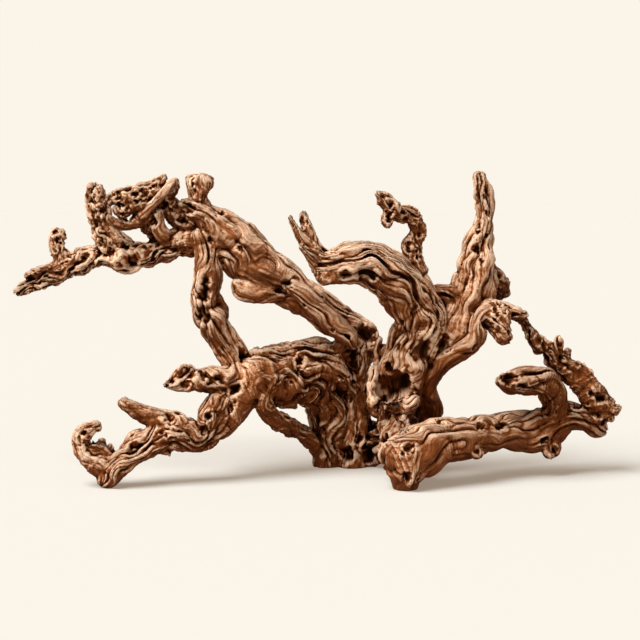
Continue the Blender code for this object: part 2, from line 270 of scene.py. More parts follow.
# %% The table of limbs
MM = 0.001
DEPTH_SPREAD = 1.2
CENTRE = Vector((-1.0, 13.0, 0.0)) * MM
LIMBS = {
    "old_trunk": [
        (34, 42, -6, 16, 17), (38, 37, 40, 15, 19), (39, 31, 76, 11, 16), (42, 25, 113, 12, 15),
        (46, 20, 136, 15, 15), (30, 18, 148, 17, 16), (12, 14, 160, 18, 16), (-8, 12, 175, 19, 16),
        (-29, 10, 189, 20, 17), (-49, 8, 203, 23, 19), (-67, 7, 218, 25, 20), (-83, 6, 235, 25, 20),
        (-98, 5, 249, 20, 18), (-114, 4, 264, 12, 13), (-128, 2, 272, 8, 10), (-134, 0, 276, 5, 7),
    ],
    "trunk_lobe": [
        (-80, -2, 195, 7, 7), (-74, -3, 190, 12, 9), (-60, -3, 189, 14, 10), (-46, -2, 188, 13, 10),
        (-35, 0, 186, 8, 8),
    ],
    "cut_stump": [
        (-113, 6, 265, 12, 11), (-118, 6, 279, 9, 8), (-118, 6, 289, 12, 9), (-117, 6, 297, 15, 10),
    ],
    "arch": [
        (-93, 5, 247, 17, 16), (-118, 8, 237, 15, 15), (-138, 12, 234, 16, 15), (-158, 15, 228, 16, 14),
        (-178, 18, 221, 14, 14), (-198, 21, 219, 15, 14), (-218, 24, 219, 12, 12),
        (-238, 27, 212, 12, 11), (-258, 30, 202, 11, 10), (-278, 33, 192, 10, 8),
        (-293, 35, 186, 8, 7), (-302, 36, 180, 5, 5),
    ],
    "arch_leg": [
        (-112, 3, 242, 16, 14), (-109, 0, 218, 13, 13), (-111, -3, 198, 15, 13), (-113, -5, 180, 15, 13),
        (-106, -6, 158, 15, 13), (-93, -4, 137, 16, 13), (-81, -2, 116, 16, 14), (-68, 0, 100, 18, 16),
    ],
    "mid_trunk": [
        (8, 43, -6, 13, 15), (12, 38, 33, 19, 18), (12, 33, 61, 21, 19), (3, 27, 82, 26, 22),
        (-15, 18, 98, 32, 24), (-38, 8, 99, 33, 25), (-60, 0, 99, 30, 24), (-76, -6, 93, 26, 21),
    ],
    "shoulder": [
        (-28, 12, 108, 24, 22), (0, 16, 113, 22, 20), (20, 20, 106, 18, 18), (34, 26, 86, 14, 15),
    ],
    "left_limb": [
        (-68, -3, 101, 27, 22), (-82, -10, 82, 22, 19), (-94, -18, 61, 16, 16), (-113, -24, 47, 15, 15),
        (-133, -29, 47, 18, 15), (-150, -33, 48, 17, 15), (-168, -38, 42, 15, 14),
        (-185, -41, 31, 13, 14), (-201, -44, 18, 13, 14), (-210, -45, 7, 11, 12),
    ],
    "left_stub": [
        (-138, -30, 56, 15, 12), (-157, -32, 63, 12, 11), (-172, -34, 71, 9, 10), (-185, -36, 79, 8, 8),
        (-192, -37, 84, 6, 6),
    ],
    "left_hook": [
        (-207, -44, 16, 13, 12), (-221, -43, 25, 12, 11), (-232, -43, 35, 10, 9), (-235, -43, 46, 8, 8),
        (-229, -45, 54, 8, 7), (-222, -48, 60, 7, 5), (-216, -50, 63, 6, 4),
    ],
    "hook_rib_a": [(-214, -40, 28, 9, 7), (-215, -38, 39, 6, 5), (-214, -38, 45, 4, 4)],
    "hook_rib_b": [(-204, -42, 22, 9, 8), (-206, -40, 34, 6, 5), (-204, -40, 39, 4, 4)],
    "hollow_twig": [
        (-82, -10, 97, 17, 15), (-102, -18, 100, 15, 14), (-118, -23, 103, 12, 12),
        (-128, -27, 105, 13, 12), (-138, -31, 103, 10, 9), (-147, -34, 101, 6, 6),
        (-151, -36, 100, 3, 3),
    ],
    "twig_knob": [
        (-96, -24, 85, 11, 9), (-108, -30, 76, 10, 9), (-110, -33, 65, 10, 8), (-112, -34, 58, 7, 6),
    ],
    "low_strut": [
        (-42, -10, 100, 9, 9), (-53, -14, 80, 9, 8), (-47, -8, 63, 10, 8), (-30, 6, 49, 10, 8),
        (-13, 22, 36, 9, 9), (2, 38, 18, 10, 11),
    ],
    "crown": [
        (10, 44, 13, 17, 17), (30, 46, 14, 19, 18), (52, 44, 17, 19, 19), (72, 30, 34, 18, 18),
        (84, 14, 56, 20, 20),
    ],
    "rear_root": [
        (54, 46, 30, 17, 17), (68, 62, 22, 15, 15), (80, 76, 11, 13, 13), (87, 84, 2, 11, 11),
    ],
    "ribbed_limb": [
        (4, -35, 216, 14, 13), (22, -36, 221, 20, 16), (46, -33, 220, 21, 19), (70, -26, 208, 24, 21),
        (89, -18, 186, 27, 23), (101, -10, 159, 27, 24), (96, -4, 130, 27, 24), (87, 2, 100, 28, 24),
        (83, 8, 74, 25, 23), (82, 14, 50, 20, 20),
    ],
    "ribbed_knob": [(16, -38, 213, 12, 12), (4, -42, 207, 8, 9)],
    "prong_right": [
        (10, -36, 221, 12, 11), (-3, -35, 236, 8, 8), (-9, -34, 250, 7, 6), (-13, -33, 262, 5, 5),
        (-15, -33, 270, 3, 3),
    ],
    "prong_left": [
        (-3, -38, 232, 9, 7), (-15, -40, 247, 6, 5), (-23, -41, 259, 4, 4), (-27, -42, 268, 3, 3),
    ],
    "prong_ledge": [(3, -38, 214, 8, 8), (-7, -42, 229, 5, 5), (-17, -45, 240, 3, 4)],
    "curl": [
        (99, -14, 208, 10, 9), (94, -12, 222, 9, 8), (93, -11, 234, 11, 9), (99, -10, 245, 9, 8),
        (98, -10, 256, 9, 8), (90, -12, 265, 9, 8), (79, -15, 268, 9, 8), (71, -18, 275, 8, 7),
        (64, -20, 283, 7, 5), (60, -21, 287, 5, 5),
    ],
    "curl_nub": [(74, -18, 270, 7, 6), (67, -20, 263, 6, 5), (69, -22, 257, 5, 5)],
    "right_trunk": [
        (161, 14, 302, 6, 5), (163, 13, 289, 8, 7), (166, 12, 274, 9, 9), (167, 11, 258, 10, 10),
        (163, 10, 243, 13, 12), (160, 8, 228, 16, 14), (159, 6, 213, 19, 16), (157, 4, 195, 22, 18),
        (147, 2, 173, 23, 20), (134, 0, 149, 25, 21), (116, 2, 124, 23, 21), (104, 5, 101, 18, 20),
        (104, 9, 80, 14, 18), (107, 16, 59, 14, 17), (112, 22, 43, 13, 14),
    ],
    "trunk_boss": [(166, 12, 205, 14, 13), (179, 16, 194, 12, 12), (184, 18, 182, 8, 9)],
    "rim": [
        (169, -10, 172, 8, 9), (160, -16, 162, 8, 9), (156, -20, 144, 9, 10), (144, -20, 131, 10, 10),
        (126, -16, 119, 9, 11), (113, -8, 101, 9, 12), (111, 0, 81, 9, 13), (116, 8, 65, 10, 14),
    ],
    "pitted_knot": [
        (167, -6, 173, 10, 10), (176, -12, 164, 15, 12), (181, -16, 156, 13, 10), (184, -17, 150, 9, 8),
    ],
    "knot_beak": [
        (174, -6, 173, 8, 8), (190, -8, 168, 8, 7), (202, -9, 165, 6, 6), (206, -9, 166, 4, 4),
    ],
    "thin_twig": [
        (188, -6, 168, 7, 7), (201, -4, 162, 5, 6), (211, -2, 148, 7, 6), (222, 0, 133, 9, 7),
        (234, 3, 123, 10, 8), (247, 6, 110, 11, 9), (261, 8, 97, 13, 11), (274, 10, 84, 15, 12),
        (279, 12, 70, 14, 13), (277, 12, 56, 13, 12),
    ],
    "twig_nub_a": [(237, 2, 121, 8, 6), (239, -1, 132, 6, 5), (241, -2, 140, 5, 4)],
    "twig_nub_b": [(242, 5, 111, 8, 8), (249, 6, 122, 5, 6), (250, 6, 126, 4, 4)],
    "end_nub": [(276, 12, 77, 12, 11), (288, 10, 69, 10, 9), (297, 8, 66, 6, 6), (302, 8, 68, 3, 3)],
    "end_nub_low": [(282, 12, 67, 9, 9), (291, 8, 60, 6, 6), (294, 6, 56, 4, 4)],
    "gap_web": [(46, 20, 126, 8, 10), (60, 14, 124, 6, 8), (74, 6, 122, 9, 9)],
    "splinter": [(59, 6, 106, 4, 5), (60, 8, 120, 4, 5), (61, 9, 137, 3, 4)],
    "cup_rim": [
        (56, -4, 110, 5, 6), (53, -10, 90, 5, 6), (58, -14, 75, 5, 7), (70, -17, 70, 5, 7),
        (83, -19, 74, 5, 7), (95, -20, 82, 6, 7),
    ],
    "leg_flange": [
        (-99, -2, 181, 4, 6), (-93, -2, 172, 4, 6), (-92, -2, 162, 4, 6), (-98, -3, 149, 5, 6),
    ],
    "mid_knob": [(-64, 4, 117, 9, 9), (-61, 4, 126, 6, 7)],
    "arch_ledge": [
        (-294, 32, 197, 3, 5), (-280, 30, 204, 4, 6), (-262, 28, 208, 6, 7), (-243, 27, 215, 9, 8),
    ],
    "inner_web": [(44, 28, 74, 12, 12), (62, 20, 68, 14, 12), (80, 12, 62, 15, 14)],
    "rear_stub": [
        (95, 10, 132, 18, 16), (100, 34, 142, 14, 14), (104, 54, 150, 11, 11), (105, 68, 157, 8, 8),
    ],
    "front_limb": [
        (84, -50, 31, 25, 24), (101, -46, 38, 26, 23), (122, -38, 45, 22, 21), (144, -28, 45, 22, 20),
        (162, -18, 45, 19, 18), (182, -9, 46, 18, 17), (204, -3, 46, 21, 18), (226, 2, 48, 22, 19),
        (248, 6, 58, 16, 15), (264, 9, 55, 13, 12), (280, 11, 46, 9, 8), (285, 11, 44, 7, 6),
    ],
    "front_foot": [(85, -52, 37, 26, 23), (86, -53, 19, 21, 20), (86, -53, 5, 14, 13)],
    "limb_link": [(84, 16, 54, 20, 20), (80, -8, 46, 20, 20), (82, -34, 37, 22, 20)],
    "limb_burl": [(152, -34, 39, 12, 10), (158, -36, 30, 7, 8)],
    "claw": [
        (236, 3, 52, 16, 15), (238, 0, 71, 13, 13), (233, -5, 87, 14, 13), (221, -12, 98, 14, 13),
        (205, -19, 100, 14, 12), (191, -24, 101, 12, 10), (182, -28, 103, 8, 7),
    ],
    "under_stub": [(228, 0, 43, 14, 13), (232, -3, 31, 11, 10), (233, -4, 24, 9, 8)],
    "spike_short": [
        (-250, 30, 208, 13, 11), (-259, 30, 220, 9, 8), (-262, 31, 232, 8, 7), (-260, 32, 241, 9, 7),
    ],
    "spike_tall": [
        (-204, 22, 224, 15, 13), (-213, 20, 242, 13, 12), (-217, 18, 260, 12, 11),
        (-221, 16, 277, 10, 9), (-223, 15, 288, 9, 8),
    ],
    "spike_brace": [(-214, 16, 255, 9, 8), (-201, 16, 239, 7, 7), (-185, 16, 226, 8, 8)],
    "burl_stem": [
        (-158, 14, 235, 9, 9), (-167, 10, 249, 8, 8), (-168, 8, 263, 9, 8), (-159, 8, 278, 9, 8),
        (-146, 8, 287, 7, 6), (-140, 8, 294, 4, 4),
    ],
    "burl_prop": [
        (-128, 10, 254, 12, 10), (-140, 10, 262, 12, 9), (-150, 9, 275, 9, 8), (-152, 8, 288, 6, 6),
    ],
    "burl_arm": [
        (-153, 4, 300, 4, 4), (-163, 4, 291, 7, 7), (-175, 4, 284, 10, 8), (-190, 2, 282, 9, 8),
        (-201, 0, 281, 6, 5), (-207, -1, 278, 4, 3),
    ],
    "burl_link": [(-180, 4, 284, 8, 7), (-174, 6, 274, 6, 6), (-166, 9, 263, 9, 6)],
    "burl_curl": [
        (-168, 5, 268, 9, 8), (-178, 4, 258, 7, 7), (-190, 2, 254, 6, 5), (-201, 0, 256, 5, 4),
        (-207, -1, 261, 4, 3),
    ],
    "burl_tooth": [
        (-174, 3, 276, 9, 8), (-186, 1, 271, 7, 7), (-195, 0, 267, 6, 6), (-199, 0, 271, 4, 4),
    ],
    "hook_bowl": [(-203, -43, 21, 13, 10), (-215, -41, 30, 13, 9), (-224, -41, 38, 11, 9)],
    "left_hump": [(-188, -40, 34, 11, 11), (-178, -37, 44, 12, 12), (-167, -35, 47, 9, 10)],
    "knot_ball": [(178, -15, 154, 10, 9), (183, -17, 148, 10, 9), (187, -18, 143, 8, 7)],
    "bridge": [(12, 18, 108, 18, 16), (23, 20, 121, 15, 15), (34, 22, 134, 13, 13)],
    "front_bar": [
        (-27, 0, 193, 9, 8), (-14, -2, 184, 9, 8), (3, -1, 166, 10, 8), (18, 1, 152, 10, 8),
        (30, 3, 140, 10, 9), (35, 4, 133, 7, 6),
    ],
    "lobe_web": [(-72, 0, 214, 14, 11), (-56, -2, 204, 16, 12), (-42, -1, 196, 12, 10)],
    "burl_brace": [
        (-174, -1, 263, 5, 5), (-162, -3, 276, 4, 4), (-152, -3, 287, 5, 5), (-143, 0, 297, 4, 4),
    ],
    "burl_strand": [(-153, 4, 240, 8, 6), (-157, 1, 252, 7, 5), (-158, 0, 266, 5, 5)],
    "fork_web": [(108, -6, 180, 12, 12), (120, -4, 186, 8, 11), (134, -2, 182, 12, 12)],
}
print(len(LIMBS), "limbs")

# %% Smooth paths with an oval frame at each station
RING_STEP = 3.0 * MM
CAP_RINGS = 4
CAP_LENGTH = 0.7  # how far a rounded end reaches, as a share of the limb's half-width
CAP_ANGLE = 0.92 * math.pi / 2  # a little short of a quarter turn, so that the tip keeps a face
FRONT_TO_BACK = Vector((0, 1, 0))
Limb = namedtuple("Limb", "name middle along wide deep half_width half_depth run")


def smooth_path(sections):
    """Stations about RING_STEP apart on a Catmull-Rom curve through the given sections, in metres."""
    given = np.array(sections, float) * MM
    given[:, 1] *= DEPTH_SPREAD
    given[:, :3] -= np.array(CENTRE)
    ends = [2 * given[0] - given[1], *given, 2 * given[-1] - given[-2]]
    path = []
    for before, start, stop, after in zip(ends, ends[1:], ends[2:], ends[3:]):
        count = max(1, round(float(np.linalg.norm(stop[:3] - start[:3])) / RING_STEP))
        for step in range(count):
            t = step / count
            path.append(0.5 * (
                2 * start
                + (stop - before) * t
                + (2 * before - 5 * start + 4 * stop - after) * t**2
                + (3 * start - before - 3 * stop + after) * t**3
            ))
    path.append(given[-1])
    return np.array(path)


def capped_path(path):
    """The path with a few shrinking sections beyond each end, which round it off."""
    rows = [*path]
    for end, inner, at_start in ((path[0], path[1], True), (path[-1], path[-2], False)):
        outward = end[:3] - inner[:3]
        outward /= np.linalg.norm(outward)
        reach = CAP_LENGTH * min(end[3], end[4])
        for ring in range(1, CAP_RINGS + 1):
            angle = CAP_ANGLE * ring / CAP_RINGS
            row = end.copy()
            row[:3] += outward * reach * math.sin(angle)
            row[3:] *= math.cos(angle)
            rows.insert(0 if at_start else len(rows), row)
    return np.array(rows)


def make_limb(name, sections):
    """The limb's stations with their three directions: along it, across it and through it."""
    rows = capped_path(smooth_path(sections))
    directions = np.gradient(rows[:, :3], axis=0)
    along, wide, deep = [], [], []
    across = Vector((1, 0, 0))
    for direction in directions:
        ahead = Vector(direction).normalized()
        level = FRONT_TO_BACK.cross(ahead)
        carried = across - across.dot(ahead) * ahead
        if level.dot(carried) < 0:
            level.negate()
        steadiness = level.length
        across = (level * steadiness + carried * (1 - steadiness) / 2).normalized()
        along.append(ahead)
        wide.append(across)
        deep.append(ahead.cross(across))
    steps = np.linalg.norm(np.diff(rows[:, :3], axis=0), axis=1)
    run = np.concatenate([[0], np.cumsum(steps)])
    turned = (np.array(direction) for direction in (along, wide, deep))
    return Limb(name, rows[:, :3], *turned, rows[:, 3], rows[:, 4], run)


limbs = [make_limb(name, sections) for name, sections in LIMBS.items()]
print("limb length in all", round(sum(limb.run[-1] for limb in limbs), 2), "m")

# %% [markdown]
# ## One skin
# Every limb starts as an oval disc that is extruded from station to station. The overlapping tubes are
# then merged by a voxel remesh, which is what makes limbs flow into each other as grown wood does, and a
# little smoothing turns the creases between them into fillets.

# %% Extrude the limbs
RING_SIDES = 28


def ring_places(limb):
    """For each station, the matrix that turns a unit circle into the limb's oval ring."""
    places = []
    for place, along, wide, deep, a, b in zip(*limb[1:5], limb.half_width, limb.half_depth):
        turn = Matrix((wide * a, deep * b, along)).transposed().to_4x4()
        places.append(Matrix.Translation(place) @ turn)
    return places


def extrude_limb(whole, limb):
    places = ring_places(limb)
    tube = bmesh.new()
    bmesh.ops.create_circle(tube, cap_ends=True, segments=RING_SIDES, radius=1, matrix=places[0])
    end = tube.faces[:][0]
    for here, after in zip(places, places[1:]):
        grown = bmesh.ops.extrude_face_region(tube, geom=[end])["geom"]
        end = next(item for item in grown if isinstance(item, bmesh.types.BMFace))
        bmesh.ops.transform(tube, matrix=after @ here.inverted(), verts=end.verts[:])
    part = bpy.data.meshes.new("tube")
    tube.to_mesh(part)
    tube.free()
    whole.from_mesh(part)
    bpy.data.meshes.remove(part)


tubes = bmesh.new()
for limb in limbs:
    extrude_limb(tubes, limb)
bmesh.ops.recalc_face_normals(tubes, faces=tubes.faces[:])
wood = bpy.data.objects.new("root_wood", bpy.data.meshes.new("root_wood"))
tubes.to_mesh(wood.data)
tubes.free()
scene.collection.objects.link(wood)
print("tubes", len(wood.data.polygons), "faces")

# %% Merge them into one skin
SKIN_VOXEL = 1.05 * MM
FILLET_PASSES = 10


def apply_modifier(piece, kind, **settings):
    modifier = piece.modifiers.new(kind.title(), kind)
    for setting, value in settings.items():
        setattr(modifier, setting, value)
    graph = bpy.context.evaluated_depsgraph_get()
    shaped = bpy.data.meshes.new_from_object(piece.evaluated_get(graph))
    piece.modifiers.clear()
    piece.data = shaped


apply_modifier(wood, "REMESH", mode="VOXEL", voxel_size=SKIN_VOXEL)
apply_modifier(wood, "SMOOTH", factor=0.5, iterations=FILLET_PASSES)
print("skin", len(wood.data.vertices), "points")

# %% [markdown]
# ## Where is the grain?
# Wood fibre runs along the limb. So each point of the skin gets the coordinates of the limb that it
# belongs to: how far along the limb, and at which angle round it. Rolled out, these make a space in
# which a pattern that is stretched along one axis becomes a fibre. Where two limbs meet, each point
# keeps a share in both, so that the fibres of one fade into those of the other.

# %% Read and write the skin's points
def read_points(mesh):
    points = np.empty(len(mesh.vertices) * 3, np.float32)
    mesh.vertices.foreach_get("co", points)
    return points.reshape(-1, 3) / MM


def write_points(mesh, points):
    mesh.vertices.foreach_set("co", (points * MM).astype(np.float32).ravel())
    mesh.update()


def read_normals(mesh):
    normals = np.empty(len(mesh.vertices) * 3, np.float32)
    mesh.vertex_normals.foreach_get("vector", normals)
    return normals.reshape(-1, 3)


def neighbours(mesh):
    """Each point's neighbours as one long list, with where each point's own stretch starts."""
    ends = np.empty(len(mesh.edges) * 2, np.int32)
    mesh.edges.foreach_get("vertices", ends)
    ends = ends.reshape(-1, 2)
    here = np.concatenate([ends[:, 0], ends[:, 1]])
    there = np.concatenate([ends[:, 1], ends[:, 0]])
    order = np.argsort(here, kind="stable")
    starts = np.searchsorted(here[order], np.arange(len(mesh.vertices)))
    return there[order], starts


def blurred(values, links, rounds):
    """Each value moved half way to the mean of its neighbours, several times."""
    near, starts = links
    counts = np.diff(np.append(starts, len(near))).astype(np.float32)
    shape = (-1,) + (1,) * (values.ndim - 1)
    for _ in range(rounds):
        means = np.add.reduceat(values[near], starts, axis=0) / counts.reshape(shape)
        values = (values + means) / 2
    return values


skin = read_points(wood.data)
facing = read_normals(wood.data)
links = neighbours(wood.data)
print("points", len(skin), "mm box", skin.min(axis=0).round(), skin.max(axis=0).round())

# %% Each point's place on each limb
NEAR = 1.7  # a limb is ignored beyond this many of its own half-widths
SLIMMEST = 0.35  # a limb's tip counts as at least this share of its body's thickness
END_SLACK = 3.0  # how far past its last station a limb still reaches freely, in millimetres
CHUNK = 20000  # points that are compared with a limb at a time, to save memory
SHARE_SHARPNESS = 9.0
Place = namedtuple("Place", "limb who reach grain ahead across radius")


def place_on(limb, points):
    """The points near a limb, with their grain coordinates on it, in millimetres."""
    middle = limb.middle / MM
    a, b = limb.half_width / MM, limb.half_depth / MM
    margin = NEAR * max(a.max(), b.max())
    low, high = middle.min(axis=0) - margin, middle.max(axis=0) + margin
    who = np.flatnonzero(((points > low) & (points < high)).all(axis=1))
    station = np.empty(len(who), int)
    for chunk in np.array_split(np.arange(len(who)), max(1, len(who) // CHUNK)):
        apart = points[who[chunk], None, :] - middle[None]
        station[chunk] = (apart**2).sum(axis=2).argmin(axis=1)
    offset = points[who] - middle[station]
    beyond = (offset * limb.along[station]).sum(axis=1)
    x = (offset * limb.wide[station]).sum(axis=1)
    y = (offset * limb.deep[station]).sum(axis=1)
    body_radius = np.sqrt(np.median(a) * np.median(b))
    small = np.maximum(np.minimum(a, b)[station], SLIMMEST * body_radius)
    past_end = np.maximum(np.abs(beyond) - END_SLACK, 0)
    over_x, over_y = x / np.maximum(a[station], small), y / np.maximum(b[station], small)
    reach = np.sqrt(over_x**2 + over_y**2 + (past_end / small)**2)
    keep = reach < NEAR
    who, station, x, y, beyond, reach = (item[keep] for item in (who, station, x, y, beyond, reach))
    turn = np.arctan2(y / b[station], x / a[station])
    run = limb.run[station] / MM + beyond
    ring = np.stack([np.cos(turn), np.sin(turn)], axis=1)
    grain = np.column_stack([ring * body_radius, run])
    across = ring[:, :1] * limb.deep[station] - ring[:, 1:] * limb.wide[station]
    return Place(limb, who, reach, grain, limb.along[station], across, body_radius)


places = [place_on(limb, skin) for limb in limbs]
least = np.full(len(skin), np.inf)
for place in places:
    least[place.who] = np.minimum(least[place.who], place.reach)


def made_whole(shares):
    """The limbs' shares, scaled so that those of each point add up to one."""
    total = np.zeros(len(skin))
    for place, share in zip(places, shares):
        total[place.who] += share
    return [share / total[place.who] for place, share in zip(places, shares)]


LEAST_SHARE = 0.02
shares = made_whole([np.exp(-SHARE_SHARPNESS * (p.reach - least[p.who])) for p in places])
strong = [share > LEAST_SHARE for share in shares]
places = [Place(p.limb, *(part[kept] for part in p[1:-1]), p.radius) for p, kept in zip(places, strong)]
shares = made_whole([share[kept] for share, kept in zip(shares, strong)])
print("points with no limb", int(np.isinf(least).sum()))

# %% [markdown]
# ## Noise for wood
# Gradient noise gives soft hills. Folded at zero it gives rounded ropes with a sharp valley between
# them, which is just how fibres lie when the soft wood between them has rotted away. When the place at
# which it is read is itself pushed about by more noise, the hills turn into swollen folds.

# %% Noise that runs on whole arrays
def gradient_noise(points, seed):
    """Soft noise from about -1 to 1 at each row of points, with one hill or so per unit."""
    chance = np.random.default_rng(seed)
    slopes = chance.normal(size=(256, 3)).astype(np.float32)
    slopes /= np.linalg.norm(slopes, axis=1, keepdims=True)
    order = chance.permutation(256)
    order = np.concatenate([order, order])
    cell = np.floor(points).astype(np.int64)
    inside = (points - cell).astype(np.float32)
    ease = inside**3 * (inside * (inside * 6 - 15) + 10)
    value = np.zeros(len(points), np.float32)
    for corner in itertools.product((0, 1), repeat=3):
        step = np.array(corner)
        i, j, k = ((cell + step) & 255).T
        slope = slopes[order[(order[(order[i] + j) & 255] + k) & 255]]
        weight = np.where(step, ease, 1 - ease).prod(axis=1)
        value += weight * (slope * (inside - step)).sum(axis=1)
    return 1.6 * value


def soft_noise(points, size, seed, octaves=2):
    """Gradient noise with hills about size apart, and finer ones on them."""
    value = 0
    for octave in range(octaves):
        value = value + gradient_noise(points * (2**octave / size), seed + octave) / 2**octave
    return value


ROPE_POWER = 0.85  # below 1, the valleys between the ropes are sharper
ROPE_RISE = 2.6
OTHER_SEED = 7


def ropes(grain, spacing, stretch, seed, octaves=2, finer=0.4):
    """Rounded ropes along the grain, from 0 in the sharp valleys to about 1 on their backs."""
    value = 0
    weight = 1.0
    total_weight = 0
    for octave in range(octaves):
        scale = np.array([1, 1, 1 / stretch]) * (2**octave / spacing)
        fold = np.abs(gradient_noise(grain * scale, seed + OTHER_SEED * octave))
        value = value + weight * (1 - np.exp(-ROPE_RISE * fold**ROPE_POWER)) / ROPE_POWER
        total_weight += weight
        weight *= finer
    return value / total_weight


BEND_SIZE = 1.7  # the noise that bends the folds is this much larger than they are
FOLD_RISE, FOLD_TOP, FOLD_POWER = 2.0, 1.1, 0.75


def folds(grain, size, stretch, seed, bend=0.9):
    """Larger swollen folds with a crease between them. The noise is itself bent by other noise."""
    push = [gradient_noise(grain / (BEND_SIZE * size), seed + 1 + axis) for axis in range(3)]
    moved = grain + bend * size * np.column_stack(push)
    fold = np.abs(gradient_noise(moved * np.array([1, 1, 1 / stretch]) / size, seed))
    return np.minimum(FOLD_RISE * fold, FOLD_TOP)**FOLD_POWER


print("noise spread", round(float(gradient_noise(skin[:5000] / 9, 1).std()), 2))

# %% [markdown]
# ## What each limb is like
# The limbs have aged in different ways, so each has its own numbers: how far apart its ropes of fibre
# are, how deep the valleys between them, how long the ropes run and how finely they split again. Others
# say how much the limb is fluted and folded, how far its grain wanders, how crumbled and how pitted it
# is, and how pale. The tone is partly each limb's own paleness and partly painted shade, set low on the
# limbs deep in recesses.

# %% Styles of grain
Style = namedtuple("Style", "spacing depth stretch flute wander fold crumble pits tone finer")
PLAIN = Style(
    spacing=7.5, depth=1.8, stretch=7, flute=0.10, wander=10,
    fold=2.6, crumble=0.8, pits=0.3, tone=1.0, finer=0.35,
)
SMOOTH = PLAIN._replace(
    spacing=8.5, depth=1.3, stretch=9, wander=9, fold=1.9, crumble=0.3, pits=0.2, finer=0.2
)
WORN_SMOOTH = SMOOTH._replace(spacing=11, depth=0.8, wander=14, tone=0.95)
GNARLED = PLAIN._replace(spacing=8.5, depth=2.3, stretch=5, wander=15, fold=4.4, crumble=0.8, finer=0.3)
ROTTEN = PLAIN._replace(spacing=6, depth=1.5, stretch=3.5, fold=2.4, crumble=2.6, pits=1.0)
SPLIT = PLAIN._replace(spacing=3.8, depth=5.5, stretch=12, fold=1.5)
# Painted shade: the limbs deep in the recesses get a dark tone.
SHADED_GNARLED = GNARLED._replace(tone=0.5)
HOOKED = PLAIN._replace(fold=3.0, stretch=3, crumble=1.2)
RIB = PLAIN._replace(crumble=1.2, tone=1.1)
BURL = ROTTEN._replace(crumble=1.8, tone=0.8)
